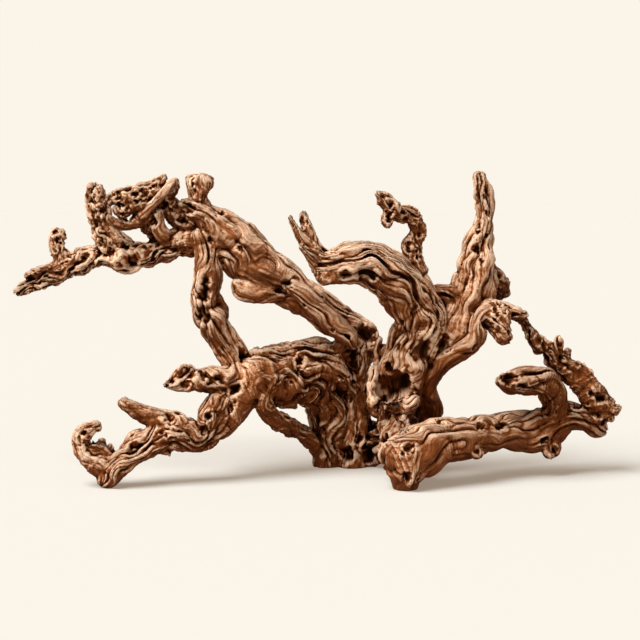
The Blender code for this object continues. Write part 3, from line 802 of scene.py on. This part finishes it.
STYLES = {
    "old_trunk": SMOOTH._replace(crumble=0.5, tone=1.12),
    "fork_web": PLAIN._replace(tone=0.75),
    "front_bar": SMOOTH._replace(depth=0.5, fold=0.8, crumble=0.1, pits=0.15, tone=1.1),
    "trunk_lobe": SMOOTH._replace(spacing=5, stretch=5, fold=2.2, crumble=0.6, pits=0.2, tone=1.1),
    "lobe_web": SMOOTH._replace(spacing=5, fold=2.2, tone=0.8),
    "cut_stump": PLAIN._replace(spacing=5, stretch=4, crumble=1.2, pits=0.6, tone=1.25),
    "arch": GNARLED._replace(depth=1.8, stretch=4, fold=3.6, crumble=1.0, pits=0.5, tone=1.15),
    "arch_ledge": ROTTEN._replace(crumble=1.8, tone=1.1),
    "arch_leg": SMOOTH._replace(depth=1.4, fold=2.6, crumble=0.5, tone=1.05),
    "leg_flange": PLAIN._replace(tone=0.6),
    "mid_trunk": GNARLED._replace(tone=0.95),
    "shoulder": GNARLED,
    "bridge": GNARLED._replace(tone=0.6),
    "gap_web": SHADED_GNARLED,
    "crown": SHADED_GNARLED,
    "inner_web": SHADED_GNARLED,
    "limb_link": SHADED_GNARLED._replace(tone=0.6),
    "rear_root": SHADED_GNARLED._replace(tone=0.7),
    "rear_stub": GNARLED._replace(tone=0.8),
    "splinter": PLAIN._replace(tone=0.8),
    "left_limb": GNARLED._replace(depth=1.6, stretch=7, fold=3.2, crumble=0.5, tone=1.05),
    "left_hump": GNARLED._replace(depth=1.3, fold=2.4, crumble=0.5),
    "left_stub": PLAIN._replace(fold=2.0),
    "left_hook": HOOKED._replace(crumble=1.6, tone=1.2),
    "hook_bowl": HOOKED._replace(tone=0.8),
    "hook_rib_a": RIB,
    "hook_rib_b": RIB,
    "hollow_twig": GNARLED._replace(depth=1.4, stretch=4, fold=2.4, pits=0.1),
    "twig_knob": GNARLED._replace(spacing=5, depth=1.6, stretch=3, fold=2.8, pits=0.3),
    "low_strut": PLAIN._replace(depth=2.0, stretch=5, fold=3.0, crumble=1.4, tone=0.85),
    "ribbed_limb": PLAIN._replace(
        spacing=9, depth=3.6, stretch=9, wander=11, fold=1.7, crumble=0.3, pits=0.05, tone=1.15
    ),
    "prong_right": SPLIT,
    "prong_left": SPLIT._replace(spacing=3.4),
    "prong_ledge": SPLIT,
    "ribbed_knob": PLAIN._replace(depth=2.4, stretch=4, crumble=1.4, pits=0.3),
    "curl": ROTTEN._replace(pits=0.6, tone=0.95),
    "curl_nub": ROTTEN._replace(tone=0.95),
    "right_trunk": SMOOTH._replace(
        spacing=10, depth=1.4, stretch=10, fold=2.2, crumble=0.35, pits=0.3, tone=1.25
    ),
    "trunk_boss": GNARLED._replace(fold=3.0, crumble=1.4, pits=0.4, tone=0.8),
    "rim": SMOOTH._replace(depth=1.6, fold=1.6, pits=0.1, tone=0.92),
    "cup_rim": ROTTEN._replace(crumble=2.4, pits=0.3, tone=1.2),
    "pitted_knot": ROTTEN._replace(crumble=2.0, pits=0.7),
    "knot_ball": ROTTEN._replace(crumble=1.4, pits=0.7, tone=0.9),
    "thin_twig": PLAIN._replace(
        spacing=7, depth=2.4, stretch=5, fold=4.2, crumble=2.2, pits=0.6, tone=0.72
    ),
    "front_limb": WORN_SMOOTH._replace(fold=1.7, crumble=0.1, pits=0.1),
    "front_foot": WORN_SMOOTH._replace(fold=2.2, pits=0.03),
    "claw": SMOOTH._replace(fold=1.8, crumble=0.4, tone=0.78),
    "under_stub": GNARLED._replace(tone=0.9),
    "spike_tall": ROTTEN._replace(tone=1.25),
    "spike_short": ROTTEN._replace(tone=1.1),
    "spike_brace": RIB._replace(tone=1.2),
    "burl_stem": BURL._replace(tone=0.7),
    "burl_prop": BURL,
    "burl_arm": BURL._replace(crumble=2.2, tone=1.0),
    "burl_link": BURL,
    "burl_curl": BURL._replace(crumble=1.4, tone=0.85),
    "burl_tooth": BURL._replace(tone=0.85),
    "burl_brace": SMOOTH._replace(spacing=5, depth=2.0, tone=1.15),
    "burl_strand": PLAIN._replace(spacing=5, depth=2.4, tone=1.1),
    "end_nub": BURL._replace(tone=0.9),
    "end_nub_low": BURL._replace(tone=0.9),
}
styles = [STYLES.get(limb.name, PLAIN) for limb in limbs]
print(len(STYLES), "styles,", sum(style is PLAIN for style in styles), "plain limbs")

# %% [markdown]
# ## Carving, from large to small
# A carver works down from the big forms, and so does this. First each limb is swollen and fluted, which
# bends its outline. Then the ropes of fibre are cut, then the pits and hollows, and last the fine grain.
# After each stage the directions in which the skin faces are read again, so that the next one cuts
# straight into the new surface.

# %% A field that is mixed from all limbs
def mixed(of_place):
    """One number per skin point: of_place gives it for each limb, and the shares mix them."""
    field = np.zeros(len(skin), np.float32)
    for number, (place, share) in enumerate(zip(places, shares)):
        if len(place.who):
            field[place.who] += share * of_place(number, place)
    return field


wood_tree = BVHTree.FromPolygons(
    [vertex.co for vertex in wood.data.vertices], [face.vertices for face in wood.data.polygons]
)


def of_style(quality):
    """One quality of the limbs' styles at each skin point, mixed as the limbs are."""
    return mixed(
        lambda number, place: np.full(len(place.who), getattr(styles[number], quality), np.float32)
    )


def of_strongest(of_place):
    """Three numbers per skin point, taken from the one limb that has the largest share there."""
    field = np.zeros_like(skin)
    best = np.zeros(len(skin))
    for number, (place, share) in enumerate(zip(places, shares)):
        wins = share > best[place.who]
        field[place.who[wins]] = of_place(number, place)[wins]
        best[place.who[wins]] = share[wins]
    return field


def seen_at(x, height):
    """Where the sight line through a point of the middle plane meets the wood, and how it faces."""
    hit, normal, _, _ = wood_tree.ray_cast(Vector((x, 0, height)) * MM - sight, sight)
    return None if hit is None else (np.array(hit) / MM, np.array(normal))


print("the wood at its middle", seen_at(0, 170))

# %% [markdown]
# ## Knots
# Where a side root left the limb, the fibres part and run round it. The knots in front are listed, and
# the far side gets scattered ones. Each bends the grain round itself, and swells the wood a little.

# %% Place the knots
# x, height, radius, in millimetres
KNOTS_SEEN = [
    (-52, 209, 10), (-32, 205, 7), (-92, 264, 6), (-231, 220, 6), (30, 205, 6),
    (-59, 107, 8), (-17, 114, 8), (85, 28, 12), (168, 50, 8), (138, 27, 8), (-179, 31, 8),
    (-105, 194, 8), (180, 202, 6), (238, 90, 7), (-145, 56, 7), (-192, 219, 10), (8, 50, 9),
    (-112, 60, 8), (270, 75, 6), (-80, 225, 6),
]
KNOTS_BEHIND = 34
KNOT_RADII = (5, 10)
LOWEST_KNOT = 12
KNOT_SEED = 5
Knot = namedtuple("Knot", "centre facing radius")
knots = []
for x, height, radius in KNOTS_SEEN:
    spot = seen_at(x, height)
    if spot:
        knots.append(Knot(*spot, radius))
chance = np.random.default_rng(KNOT_SEED)
behind = np.flatnonzero((facing[:, 1] > 0) & (skin[:, 2] > LOWEST_KNOT))
for who in chance.choice(behind, KNOTS_BEHIND, replace=False):
    knots.append(Knot(skin[who], facing[who], chance.uniform(*KNOT_RADII)))
print(len(knots), "knots")

# %% Bend the grain
KNOT_REACH = 3  # how far a knot bends the fibres, in its own radii
KNOT_LONG = 1.6
KNOT_PUSH = 0.9
WANDER_SIZE = 38
LIMBS_APART = 300  # keeps the patterns of any two limbs from repeating each other


def knot_pull(place, knot):
    """The points near a knot, how far aside of it they lie, and how strongly it bends them."""
    offset = skin[place.who] - knot.centre
    near = np.flatnonzero((offset**2).sum(axis=1) < (KNOT_REACH * knot.radius)**2)
    aside = (offset[near] * place.across[near]).sum(axis=1)
    along = (offset[near] * place.ahead[near]).sum(axis=1)
    pull = np.exp(-((aside / knot.radius)**2) - (along / (KNOT_LONG * knot.radius))**2)
    return near, aside, pull * ((facing[place.who[near]] * knot.facing).sum(axis=1) > 0)


def wandering(number, place):
    """The grain coordinates pushed sideways by slow noise and by knots, so that the fibres bend."""
    push = soft_noise(skin[place.who], WANDER_SIZE, 40, octaves=2) * styles[number].wander
    for knot in knots:
        near, aside, pull = knot_pull(place, knot)
        push[near] -= KNOT_PUSH * aside * pull
    angle = push / place.radius
    ring = place.grain[:, :2]
    return np.column_stack([
        ring[:, 0] * np.cos(angle) - ring[:, 1] * np.sin(angle),
        ring[:, 0] * np.sin(angle) + ring[:, 1] * np.cos(angle),
        place.grain[:, 2] + LIMBS_APART * number,
    ])


bent = [wandering(number, place) for number, place in enumerate(places)]
print("grain laid over", len(bent), "limbs")

# %% Swell, flute and fold
LUMP_SIZE = 30
LUMP_SHARE = 0.10
FLUTE_SIZE = 15
FLUTE_STRETCH = 5
FOLD_SIZE = 18
FOLD_STRETCH = 2.6
CALM, BUSY = 0.3, 1.2  # how strong the relief is in the calmest and the busiest patches
KNOT_SWELL = 0.12
PATCH_SIZE = 48
FULL_FOLDS = 13  # limbs thinner than this get shallower folds, in millimetres
MEAN_ROPE, MEAN_FOLD = 0.6, 0.62
FLUTE_DEPTH, FOLD_DEPTH = 2.2, 2.0

stir = CALM + (BUSY - CALM) * np.clip(0.5 + 0.9 * soft_noise(skin, PATCH_SIZE, 45), 0, 1)


def swelling(number, place):
    """How far each point near a limb moves out when the limb swells, flutes and folds."""
    style = styles[number]
    flute = ropes(bent[number], FLUTE_SIZE, FLUTE_STRETCH, 500, octaves=1) - MEAN_ROPE
    lump = soft_noise(skin[place.who], LUMP_SIZE, 60)
    fold = folds(bent[number], FOLD_SIZE, FOLD_STRETCH, 560) - MEAN_FOLD
    slim = min(1.0, place.radius / FULL_FOLDS)
    swell = FLUTE_DEPTH * style.flute * place.radius * flute + LUMP_SHARE * place.radius * lump
    swell += FOLD_DEPTH * style.fold * slim * stir[place.who] * fold
    for knot in knots:
        near, _, pull = knot_pull(place, knot)
        swell[near] += KNOT_SWELL * knot.radius * pull
    return swell


FOOT_HEIGHT = 14  # the feet swell less the nearer they are to the floor
foot_fade = np.clip((skin[:, 2] + 2) / FOOT_HEIGHT, 0, 1)
swell = mixed(swelling) * foot_fade
skin += facing * swell[:, None]
write_points(wood.data, skin)
facing = read_normals(wood.data)
print("swollen by", round(float(np.abs(swell).max()), 1), "mm at most")

# %% Cut the ropes of fibre
WRINKLE_SIZE = 7.5
WRINKLE_STRETCH = 1.5
ROPE_DEPTH, WRINKLE_DEPTH = 1.5, 1.1
FULL_ROPES = 11  # limbs thinner than this get shallower ropes, in millimetres


def rope_relief(number, place):
    """How far each point near a limb moves for its ropes of fibre and its crumbled wrinkles."""
    style = styles[number]
    slim = min(1.0, place.radius / FULL_ROPES)
    height = ropes(bent[number], style.spacing, style.stretch, 900, octaves=3, finer=style.finer)
    wrinkle = folds(bent[number], WRINKLE_SIZE, WRINKLE_STRETCH, 1100, bend=0.7)
    depth = ROPE_DEPTH * style.depth * (0.3 + 0.7 * stir[place.who])
    wrinkled = WRINKLE_DEPTH * style.crumble * (wrinkle - 0.6)
    return slim * (depth * (height - 0.7) - wrinkled)


relief = mixed(rope_relief)
skin += facing * relief[:, None]
write_points(wood.data, skin)
facing = read_normals(wood.data)
print("ropes", round(float(relief.min()), 1), "to", round(float(relief.max()), 1), "mm")

# %% [markdown]
# ## Pits and hollows
# Where a side root rotted out, or sand and insects got in, the wood has a hollow with steep walls and a
# raised lip. The big ones are listed one by one. Each is given on the root's middle plane as it is seen
# from the front and a little above: a sight line through that point finds the surface. Many small pits
# are scattered over the rest, most on the limbs that are pitted most.

# %% Where the hollows are
# x, height, radius, depth, in millimetres
HOLLOWS = [
    (-112, 183, 8, 9), (-114, 161, 8, 9), (-110, 195, 5, 5), (-232, 220, 5, 5), (-187, 215, 9, 7),
    (-204, 222, 7, 5), (-214, 232, 5, 4), (-192, 230, 5, 4), (-159, 231, 4, 4), (-262, 245, 4, 4),
    (-260, 237, 4, 4), (-225, 286, 4, 4), (-224, 274, 5, 5), (-213, 267, 5, 4), (-220, 253, 4, 3),
    (-197, 283, 5, 4), (-187, 288, 4, 4), (-179, 282, 4, 4), (-172, 283, 5, 5), (-162, 255, 5, 5),
    (-152, 272, 5, 5), (-125, 298, 4, 4), (-123, 292, 3, 3), (-127, 268, 7, 6), (-132, 255, 6, 6),
    (-105, 236, 4, 4), (-95, 264, 4, 3), (-29, 193, 5, 6), (-13, 171, 2.5, 3), (31, 163, 2.5, 3),
    (31, 139, 3, 4), (51, 141, 11, 12), (-72, 121, 7, 8), (-17, 115, 5, 5), (-129, 103, 9, 8),
    (-145, 95, 5, 5), (-129, 92, 6, 5), (-111, 100, 6, 7), (-103, 95, 6, 6), (-95, 97, 6, 6),
    (-81, 87, 6, 7), (-145, 57, 6, 5), (-107, 59, 5, 6), (-112, 46, 5, 3), (-179, 29, 7, 7),
    (-221, 36, 6, 4), (-229, 43, 4, 3), (28, 201, 6, 5), (48, 201, 8, 5), (65, 280, 3, 3),
    (73, 270, 5, 5), (71, 261, 4, 4), (90, 232, 4, 4), (90, 225, 4, 4), (101, 241, 3, 3),
    (166, 279, 3, 3), (170, 263, 4, 4), (160, 252, 4, 4), (160, 245, 4, 4), (144, 232, 5, 4),
    (158, 227, 5, 5), (163, 215, 4, 4), (181, 201, 4, 3), (104, 126, 12, 9), (123, 131, 9, 9),
    (77, 89, 19, 22), (85, 94, 9, 18), (75, 62, 14, 14), (63, 62, 9, 9),
    (177, 163, 4, 4), (173, 154, 4, 3), (186, 163, 3, 3), (195, 161, 3, 3), (191, 143, 3, 3),
    (167, 151, 6, 7), (232, 126, 3, 3), (226, 124, 3, 3), (243, 131, 3, 3), (243, 118, 4, 4),
    (249, 110, 3, 2), (283, 77, 6, 7), (275, 82, 4, 4), (283, 60, 4, 3), (260, 67, 4, 4),
    (190, 96, 8, 10), (203, 90, 5, 6), (181, 99, 3, 3), (84, 24, 3, 3), (90, 31, 6, 6),
    (88, 0, 6, 6), (99, -2, 3, 3), (161, 50, 5, 4), (183, 50, 6, 5),
    (158, 24, 4, 3), (228, 34, 5, 6), (238, 24, 4, 4), (30, 19, 9, 13), (53, 17, 10, 16),
    (43, 34, 5, 5), (58, 48, 8, 12), (67, 37, 6, 9),
]
Dent = namedtuple("Dent", "centre inward radius depth long")
HOLLOW_LONG = 1.35  # hollows are this much longer along the grain
dents = []
for x, height, radius, depth in HOLLOWS:
    spot = seen_at(x, height)
    if spot:
        inward = np.array(sight) - spot[1]
        dents.append(Dent(spot[0], inward / np.linalg.norm(inward), radius, depth, HOLLOW_LONG))
print(len(dents), "of", len(HOLLOWS), "hollows meet the wood")

# %% Scatter small pits
PIT_COUNT = 420
PIT_LEAST, PIT_MOST = 1.2, 4.2
PIT_DEPTH = 0.9
PIT_SEED = 11
PIT_PATCH = 26
LOWEST_PIT = 4
pittedness = of_style("pits")
patches = np.clip(soft_noise(skin, PIT_PATCH, 70) * 1.8 + 0.4, 0.02, 1.5)
odds = pittedness**1.5 * patches * (skin[:, 2] > LOWEST_PIT)
chance = np.random.default_rng(PIT_SEED)
for who in chance.choice(len(skin), PIT_COUNT, replace=False, p=odds / odds.sum()):
    radius = PIT_LEAST + (PIT_MOST - PIT_LEAST) * chance.random()**2.6
    long = 1 + 1.8 * chance.random()
    dents.append(Dent(skin[who], -facing[who], radius, PIT_DEPTH * radius, long))
print(len(dents), "dents")

# %% Find the points near a dent
CELL = 12
DENT_REACH = 1.8  # how far a dent is felt, in its own radii
cells = defaultdict(list)
for who, cell in enumerate(map(tuple, np.floor(skin / CELL).astype(int))):
    cells[cell].append(who)


def near_dent(dent):
    span = dent.radius * DENT_REACH * dent.long
    low = np.floor((dent.centre - span) / CELL).astype(int)
    high = np.floor((dent.centre + span) / CELL).astype(int)
    boxes = itertools.product(*(range(a, b + 1) for a, b in zip(low, high)))
    return np.array([who for box in boxes for who in cells.get(box, ())], int)


def smooth_step(value, low, high):
    t = np.clip((value - low) / (high - low), 0, 1)
    return t * t * (3 - 2 * t)


print(len(cells), "cells")

# %% Press them in
RIM_HEIGHT = 0.08
RIM_WIDTH = 0.28
RIM_PLACE = 1.15
BOWL = 10  # hollows from this radius on are smooth inside
WALL = 0.25  # the flat bottom's share of the radius
WOBBLE, FINE_WOBBLE = 0.34, 0.16  # how ragged a dent's outline is
WOBBLE_SIZE, FINE_WOBBLE_SIZE = 0.8, 0.3  # in the dent's own radii
DEEPEST = 24

ahead = of_strongest(lambda number, place: place.ahead)
moves = np.zeros_like(skin)
dented = np.zeros(len(skin), np.float32)
bowl = np.zeros(len(skin), np.float32)
for dent in dents:
    near = near_dent(dent)
    if not len(near):
        continue
    offset = skin[near] - dent.centre
    run = (offset * ahead[near]).sum(axis=1)
    sunk = (offset * dent.inward).sum(axis=1)
    across2 = (offset**2).sum(axis=1) - run**2
    wobble = WOBBLE * gradient_noise(skin[near] / (WOBBLE_SIZE * dent.radius + 1), 80)
    wobble += FINE_WOBBLE * gradient_noise(skin[near] / (FINE_WOBBLE_SIZE * dent.radius + 1), 81)
    far = np.sqrt(np.maximum(across2 - 0.6 * sunk**2, 0) + (run / dent.long)**2)
    far = far / dent.radius + wobble
    open_side = (facing[near] * -dent.inward).sum(axis=1) > -0.2
    inside = (1 - smooth_step(far, WALL, 1)) * open_side
    rim = RIM_HEIGHT * dent.radius * np.exp(-(((far - RIM_PLACE) / RIM_WIDTH) ** 2)) * open_side
    moves[near] += dent.inward * (dent.depth * inside)[:, None] + facing[near] * rim[:, None]
    dented[near] = np.maximum(dented[near], inside)
    if dent.radius >= BOWL:
        bowl[near] = np.maximum(bowl[near], inside)
length = np.linalg.norm(moves, axis=1, keepdims=True)
skin += moves * np.minimum(1, DEEPEST / np.maximum(length, 1e-6))
print("deepest", round(float(length.max()), 1), "mm, held to", DEEPEST)

# %% Smooth the hollows inside
IN_HOLLOWS, IN_BOWLS = 5, 40  # rounds of smoothing
TINY = 4  # dents no deeper than this keep their crumbs, in millimetres
in_hollows = 0.7 * smooth_step(dented, 0.2, 0.8) * (length[:, 0] > TINY)
skin += (blurred(skin, links, IN_HOLLOWS) - skin) * in_hollows[:, None]
in_bowls = 0.85 * smooth_step(bowl, 0.15, 0.6)
skin += (blurred(skin, links, IN_BOWLS) - skin) * in_bowls[:, None]
write_points(wood.data, skin)
facing = read_normals(wood.data)
print("smooth bowls over", int((bowl > 0.5).sum()), "points")

# %% [markdown]
# ## Fine grain, cracks and crumble
# The last cut is shallow: threads of grain a few millimetres apart, long cracks where the wood split
# as it dried, and a crumbled surface where it is rotten.

# %% Cut the fine grain
GRAIN_SPACING = 3.4
GRAIN_DEPTH = 0.6
CRACK_SPACING = 17
CRACK_DEPTH = 2.6
CRACK_WIDTH = 0.07
CRUMBLE_SIZE = 4.5
CRUMBLE_DEPTH = 1.3
GRAIN_STRETCH = 9
CRACK_STRETCH = 12
CRACK_PATCH = 40


def fine_relief(number, place):
    """Threads of grain, the cracks along them, and crumbs where the limb is pitted."""
    threads = ropes(bent[number], GRAIN_SPACING, GRAIN_STRETCH, 1300) - MEAN_ROPE
    squeezed = bent[number] * np.array([1, 1, 1 / CRACK_STRETCH])
    split = gradient_noise(squeezed / CRACK_SPACING, 1500)
    open_here = smooth_step(soft_noise(skin[place.who], CRACK_PATCH, 90), 0.0, 0.5)
    crack = np.exp(-((split / CRACK_WIDTH) ** 2)) * open_here
    crumble = ropes(skin[place.who], CRUMBLE_SIZE, 1, 1700) - MEAN_ROPE
    rot = min(styles[number].pits, 1.0)
    return GRAIN_DEPTH * threads - CRACK_DEPTH * crack + CRUMBLE_DEPTH * rot * crumble


fine = mixed(fine_relief)
skin += facing * fine[:, None]
skin[:, 2] = np.maximum(skin[:, 2], 0)
write_points(wood.data, skin)
facing = read_normals(wood.data)
print("fine relief", round(float(fine.min()), 1), "to", round(float(fine.max()), 1), "mm")

# %% [markdown]
# ## What the material needs to know
# The material is painted by rules, and its rules need a few facts at each point: how sunken it is, near
# by and over a wider range, where it lies in the grain, and where one limb's grain gives way to
# another's. These facts are kept as attributes of the mesh.

# %% Keep the facts as attributes
def keep(name, values):
    """Stores one number, or three, at each point of the wood."""
    kind, field = ("FLOAT", "value") if values.ndim == 1 else ("FLOAT_VECTOR", "vector")
    attribute = wood.data.attributes.new(name, kind, "POINT")
    attribute.data.foreach_set(field, values.astype(np.float32).ravel())


def sunken(rounds):
    """How far each point lies below the mean of the points round it, in millimetres."""
    return ((blurred(skin, links, rounds) - skin) * facing).sum(axis=1)


# The sunken depths and dented mark where the material paints shade in valleys and pits.
ROUNDS = {"narrow": 2, "wide": 14, "broad": 60}
for reach, rounds in ROUNDS.items():
    depths = sunken(rounds)
    keep("sunken_" + reach, depths)
    print("sunken", reach, np.percentile(depths, (2, 25, 50, 75, 98)).round(2))
keep("dented", blurred(dented + bowl, links, 1))
keep("grain", of_strongest(lambda number, place: bent[number]))
best, second = np.zeros(len(skin)), np.zeros(len(skin))
for place, share in zip(places, shares):
    now = best[place.who]
    second[place.who] = np.maximum(second[place.who], np.minimum(now, share))
    best[place.who] = np.maximum(now, share)
keep("seam", smooth_step(best - second, 0.0, 0.5))
keep("tone", of_style("tone"))
# upward tells the material where to paint a highlight on top and shade underneath.
UPWARD_ROUNDS = 8
keep("upward", blurred(facing, links, UPWARD_ROUNDS)[:, 2])
print("facts", [attribute.name for attribute in wood.data.attributes])

# %% Thin the skin out
MOST_TRIANGLES = 384000
triangles = sum(len(face.vertices) - 2 for face in wood.data.polygons)
kept_share = min(1, MOST_TRIANGLES / triangles)
apply_modifier(wood, "DECIMATE", ratio=kept_share, use_collapse_triangulate=True)
wood.data.shade_smooth()
print("triangles", triangles, "thinned to", len(wood.data.polygons))

# %% [markdown]
# ## The wood
# The bare wood is a warm brown. Wind and light have bleached what stands out to a pale, slightly pink
# tan, and the same pale tint on the upward faces is a painted highlight. The valleys are painted dark
# and the bottoms of pits nearly black, which is painted shade, and the undersides get painted shade too.
# Streaks run with the grain. The relief that is too fine for the mesh goes into a bump.

# %% Read the facts and the streaks
STREAK_SCALE = (0.30, 0.30, 0.022)  # the last number runs along the grain, so streaks are long
THREAD_SCALE = (1.1, 1.1, 0.05)
PATCH_SCALE, SPECKLE_SCALE, GREY_SCALE, SPLIT_SCALE = 22.0, 420.0, 15.0, 34.0

material = bpy.data.materials.new("weathered_wood")
material.use_nodes = True
web = Wire(material.node_tree)


def fact(name, output=2):
    """One of the wood's attributes: output 1 is a vector, and 2 a number."""
    return web.node("ShaderNodeAttribute", {"attribute_name": name}, output=output)


shader = material.node_tree.nodes["Principled BSDF"]
narrow, wide_sunk, broad = (fact("sunken_" + reach) for reach in ROUNDS)
upward, tone, seam = fact("upward"), fact("tone"), fact("seam")
grain_place = fact("grain", output=1)
object_place = web.node("ShaderNodeTexCoord", output=3)
streaks = grain_place.stretched(*STREAK_SCALE).noise(1.0, detail=4.0, roughness=0.6)
threads = grain_place.stretched(*THREAD_SCALE).noise(1.0)
patch = object_place.noise(PATCH_SCALE, detail=3.0)
speckle = object_place.noise(SPECKLE_SCALE)
print("facts and streaks read")

# %% The body of the wood
HEARTWOOD = (0.135, 0.030, 0.0055, 1)
SAPWOOD = (0.340, 0.101, 0.0235, 1)
REDDISH = (0.28, 0.066, 0.012, 1)
GREYED = (0.26, 0.13, 0.07, 1)
RED_BELOW = 0.20  # the wood gets redder towards the floor from this height, in metres

body_tone = (streaks * 0.75 + patch * 0.45 + threads * 0.25 - 0.10).between(0.30, 0.85)
colour = web.blend(HEARTWOOD, SAPWOOD, body_tone)
height_above = web.node("ShaderNodeSeparateXYZ", output=2, Vector=object_place)
low_and_red = (RED_BELOW - height_above).between(0.0, RED_BELOW) * (patch * 1.2 + 0.1)
colour = colour.tint(REDDISH, low_and_red * 0.55)
grey_patch = object_place.noise(GREY_SCALE).between(0.52, 0.68)
colour = colour.tint(GREYED, grey_patch * 0.15)
print("body colour mixed")

# %% Pale where it stands out, with a painted highlight on top, and painted shade where it sinks
WORN_AND_LIT = (0.58, 0.226, 0.082, 1)
BLEACHED_AND_LIT = (0.97, 0.680, 0.475, 1)
VALLEY_SHADE = (0.020, 0.0028, 0.0004, 1)
PIT_SHADE = (0.009, 0.0012, 0.0002, 1)

# Painted highlight: raised and upward faces get the pale worn and bleached tints, partly real bleaching
# and partly a painted highlight where light falls from above.
raised_and_lit = upward * 0.60 - narrow - wide_sunk * 0.75
raised_and_lit = raised_and_lit + (streaks - 0.5) * 1.3 + (patch - 0.5) * 0.8 + (tone - 1.0) * 0.9
proud_and_lit = raised_and_lit.between(-0.30, 0.75)
colour = colour.tint(WORN_AND_LIT, proud_and_lit * 0.85)
colour = colour.tint(BLEACHED_AND_LIT, raised_and_lit.between(0.08, 0.98) * 0.95)
# Painted shade: the valleys between the ropes are painted dark where shade falls.
valley = (narrow * 1.2 + wide_sunk * 0.95).between(0.05, 1.25)
colour = colour.tint(VALLEY_SHADE, valley * 0.9)
# Painted shade: the deep pits and hollows are painted nearly black.
deep = (wide_sunk * 0.7 + broad * 0.30 + fact("dented") * 0.9).between(0.9, 2.9)
colour = colour.tint(PIT_SHADE, deep * 0.92)
print("weathering_and_painted_light mixed")

# %% Specks, hairlines and painted shade on the underside
SPECK = (0.72, 0.64, 0.58, 1)
HAIRLINE = (0.30, 0.20, 0.14, 1)
UNDERSIDE_SHADE = (0.42, 0.28, 0.20, 1)
HAIRLINE_SCALE = (0.42, 0.42, 0.026)
HAIRLINE_WIDTH = 0.032

colour = colour.shade(SPECK, speckle.between(0.56, 0.70) * 0.6)
wave = grain_place.stretched(*HAIRLINE_SCALE).noise(1.0, roughness=0.6) - 0.5
hairline = 1.0 - wave.size().between(0.0, HAIRLINE_WIDTH)
split_patch = object_place.noise(SPLIT_SCALE).between(0.44, 0.60)
colour = colour.shade(HAIRLINE, hairline * split_patch * 0.7)
# Painted shade: the faces turned down are darkened, as shade falls there.
underside_shade = (0.0 - upward).between(-0.1, 0.9)
colour = colour.shade(UNDERSIDE_SHADE, underside_shade * 0.85)
colour.scaled(tone * 0.6 + 0.4).feed(shader.inputs["Base Color"])
print("colour done")

# %% Gloss and fine relief
SPECULAR = 0.06
BUMP_DEPTH = 0.0021
FIBRE_SCALE = (0.95, 0.95, 0.055)
FINE_FIBRE_SCALE = (2.6, 2.6, 0.12)
PORE_SCALE = 650.0

roughness = 0.62 + valley * 0.25 - proud_and_lit * 0.08 + (speckle - 0.5) * 0.15
roughness.feed(shader.inputs["Roughness"])
set_inputs(shader, Specular_IOR_Level=SPECULAR)
fibre = grain_place.stretched(*FIBRE_SCALE).noise(1.0, detail=3.0, roughness=0.62)
fine_fibre = grain_place.stretched(*FINE_FIBRE_SCALE).noise(1.0)
pores = object_place.noise(PORE_SCALE).between(0.60, 0.72)
relief_height = (fibre + fine_fibre * 0.4 - hairline * 0.5) * seam - pores * 0.35
bump = web.node("ShaderNodeBump", Height=relief_height, Strength=1.0, Distance=BUMP_DEPTH)
bump.feed(shader.inputs["Normal"])
wood.data.materials.clear()
wood.data.materials.append(material)
print("material", len(material.node_tree.nodes), "nodes")

# %% [markdown]
# ## Two lengths
# The root is one piece, but its skin is heavy for one mesh. It is parted upright through the middle,
# where both lengths keep the very same edge, so that no seam shows. Each length is closed by flat faces
# inside the wood. Crumbs of a few faces that float free of it are thrown away.

# %% Part the skin in two
PARTING = float(np.median(read_points(wood.data)[:, 0])) * MM
LEAST_FACES = 200  # an island with fewer faces is a crumb


def drop_crumbs(whole):
    """Deletes the tiny islands that merging and cutting leave, and says how many faces they had."""
    waiting = set(whole.faces)
    crumbs = []
    while waiting:
        island = [waiting.pop()]
        for face in island:
            beside = {other for edge in face.edges for other in edge.link_faces} & waiting
            waiting -= beside
            island.extend(beside)
        if len(island) < LEAST_FACES:
            crumbs.extend(island)
    bmesh.ops.delete(whole, geom=crumbs, context="FACES")
    return len(crumbs)


def length_of_wood(name, keep_right):
    """The skin on one side of the parting plane, closed by a flat face."""
    piece = bpy.data.objects.new(name, wood.data.copy())
    whole = bmesh.new()
    whole.from_mesh(piece.data)
    everything = whole.verts[:] + whole.edges[:] + whole.faces[:]
    cut = bmesh.ops.bisect_plane(
        whole, geom=everything, dist=1e-7, plane_co=(PARTING, 0, 0), plane_no=(1, 0, 0),
        clear_inner=keep_right, clear_outer=not keep_right,
    )["geom_cut"]
    rim = [item for item in cut if isinstance(item, bmesh.types.BMEdge) and item.is_boundary]
    for edge in rim:
        edge.smooth = False
    made = bmesh.ops.holes_fill(whole, edges=rim)
    bmesh.ops.triangulate(whole, faces=made["faces"])
    crumbs = drop_crumbs(whole)
    open_edges = sum(not edge.is_manifold for edge in whole.edges)
    whole.to_mesh(piece.data)
    whole.free()
    scene.collection.objects.link(piece)
    print(name, len(piece.data.polygons), "faces,", crumbs, "dropped,", open_edges, "open edges")
    return piece


halves = [length_of_wood("root_left_length", False), length_of_wood("root_right_length", True)]
bpy.data.objects.remove(wood, do_unlink=True)

# %% [markdown]
# ## Hand over
# The wood rides on the solid's one body and stands for it. Its box is kept beside the solid's, to see
# that the carving hasn't changed the root's size.

# %% Finish
for half in halves:
    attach(half, "root")
    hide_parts("dry_root")
shown_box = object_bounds()
for name, (low, high) in (("solid", cad_box), ("looks", shown_box)):
    print(name, [round(1000 * side) for side in high - low], "mm")
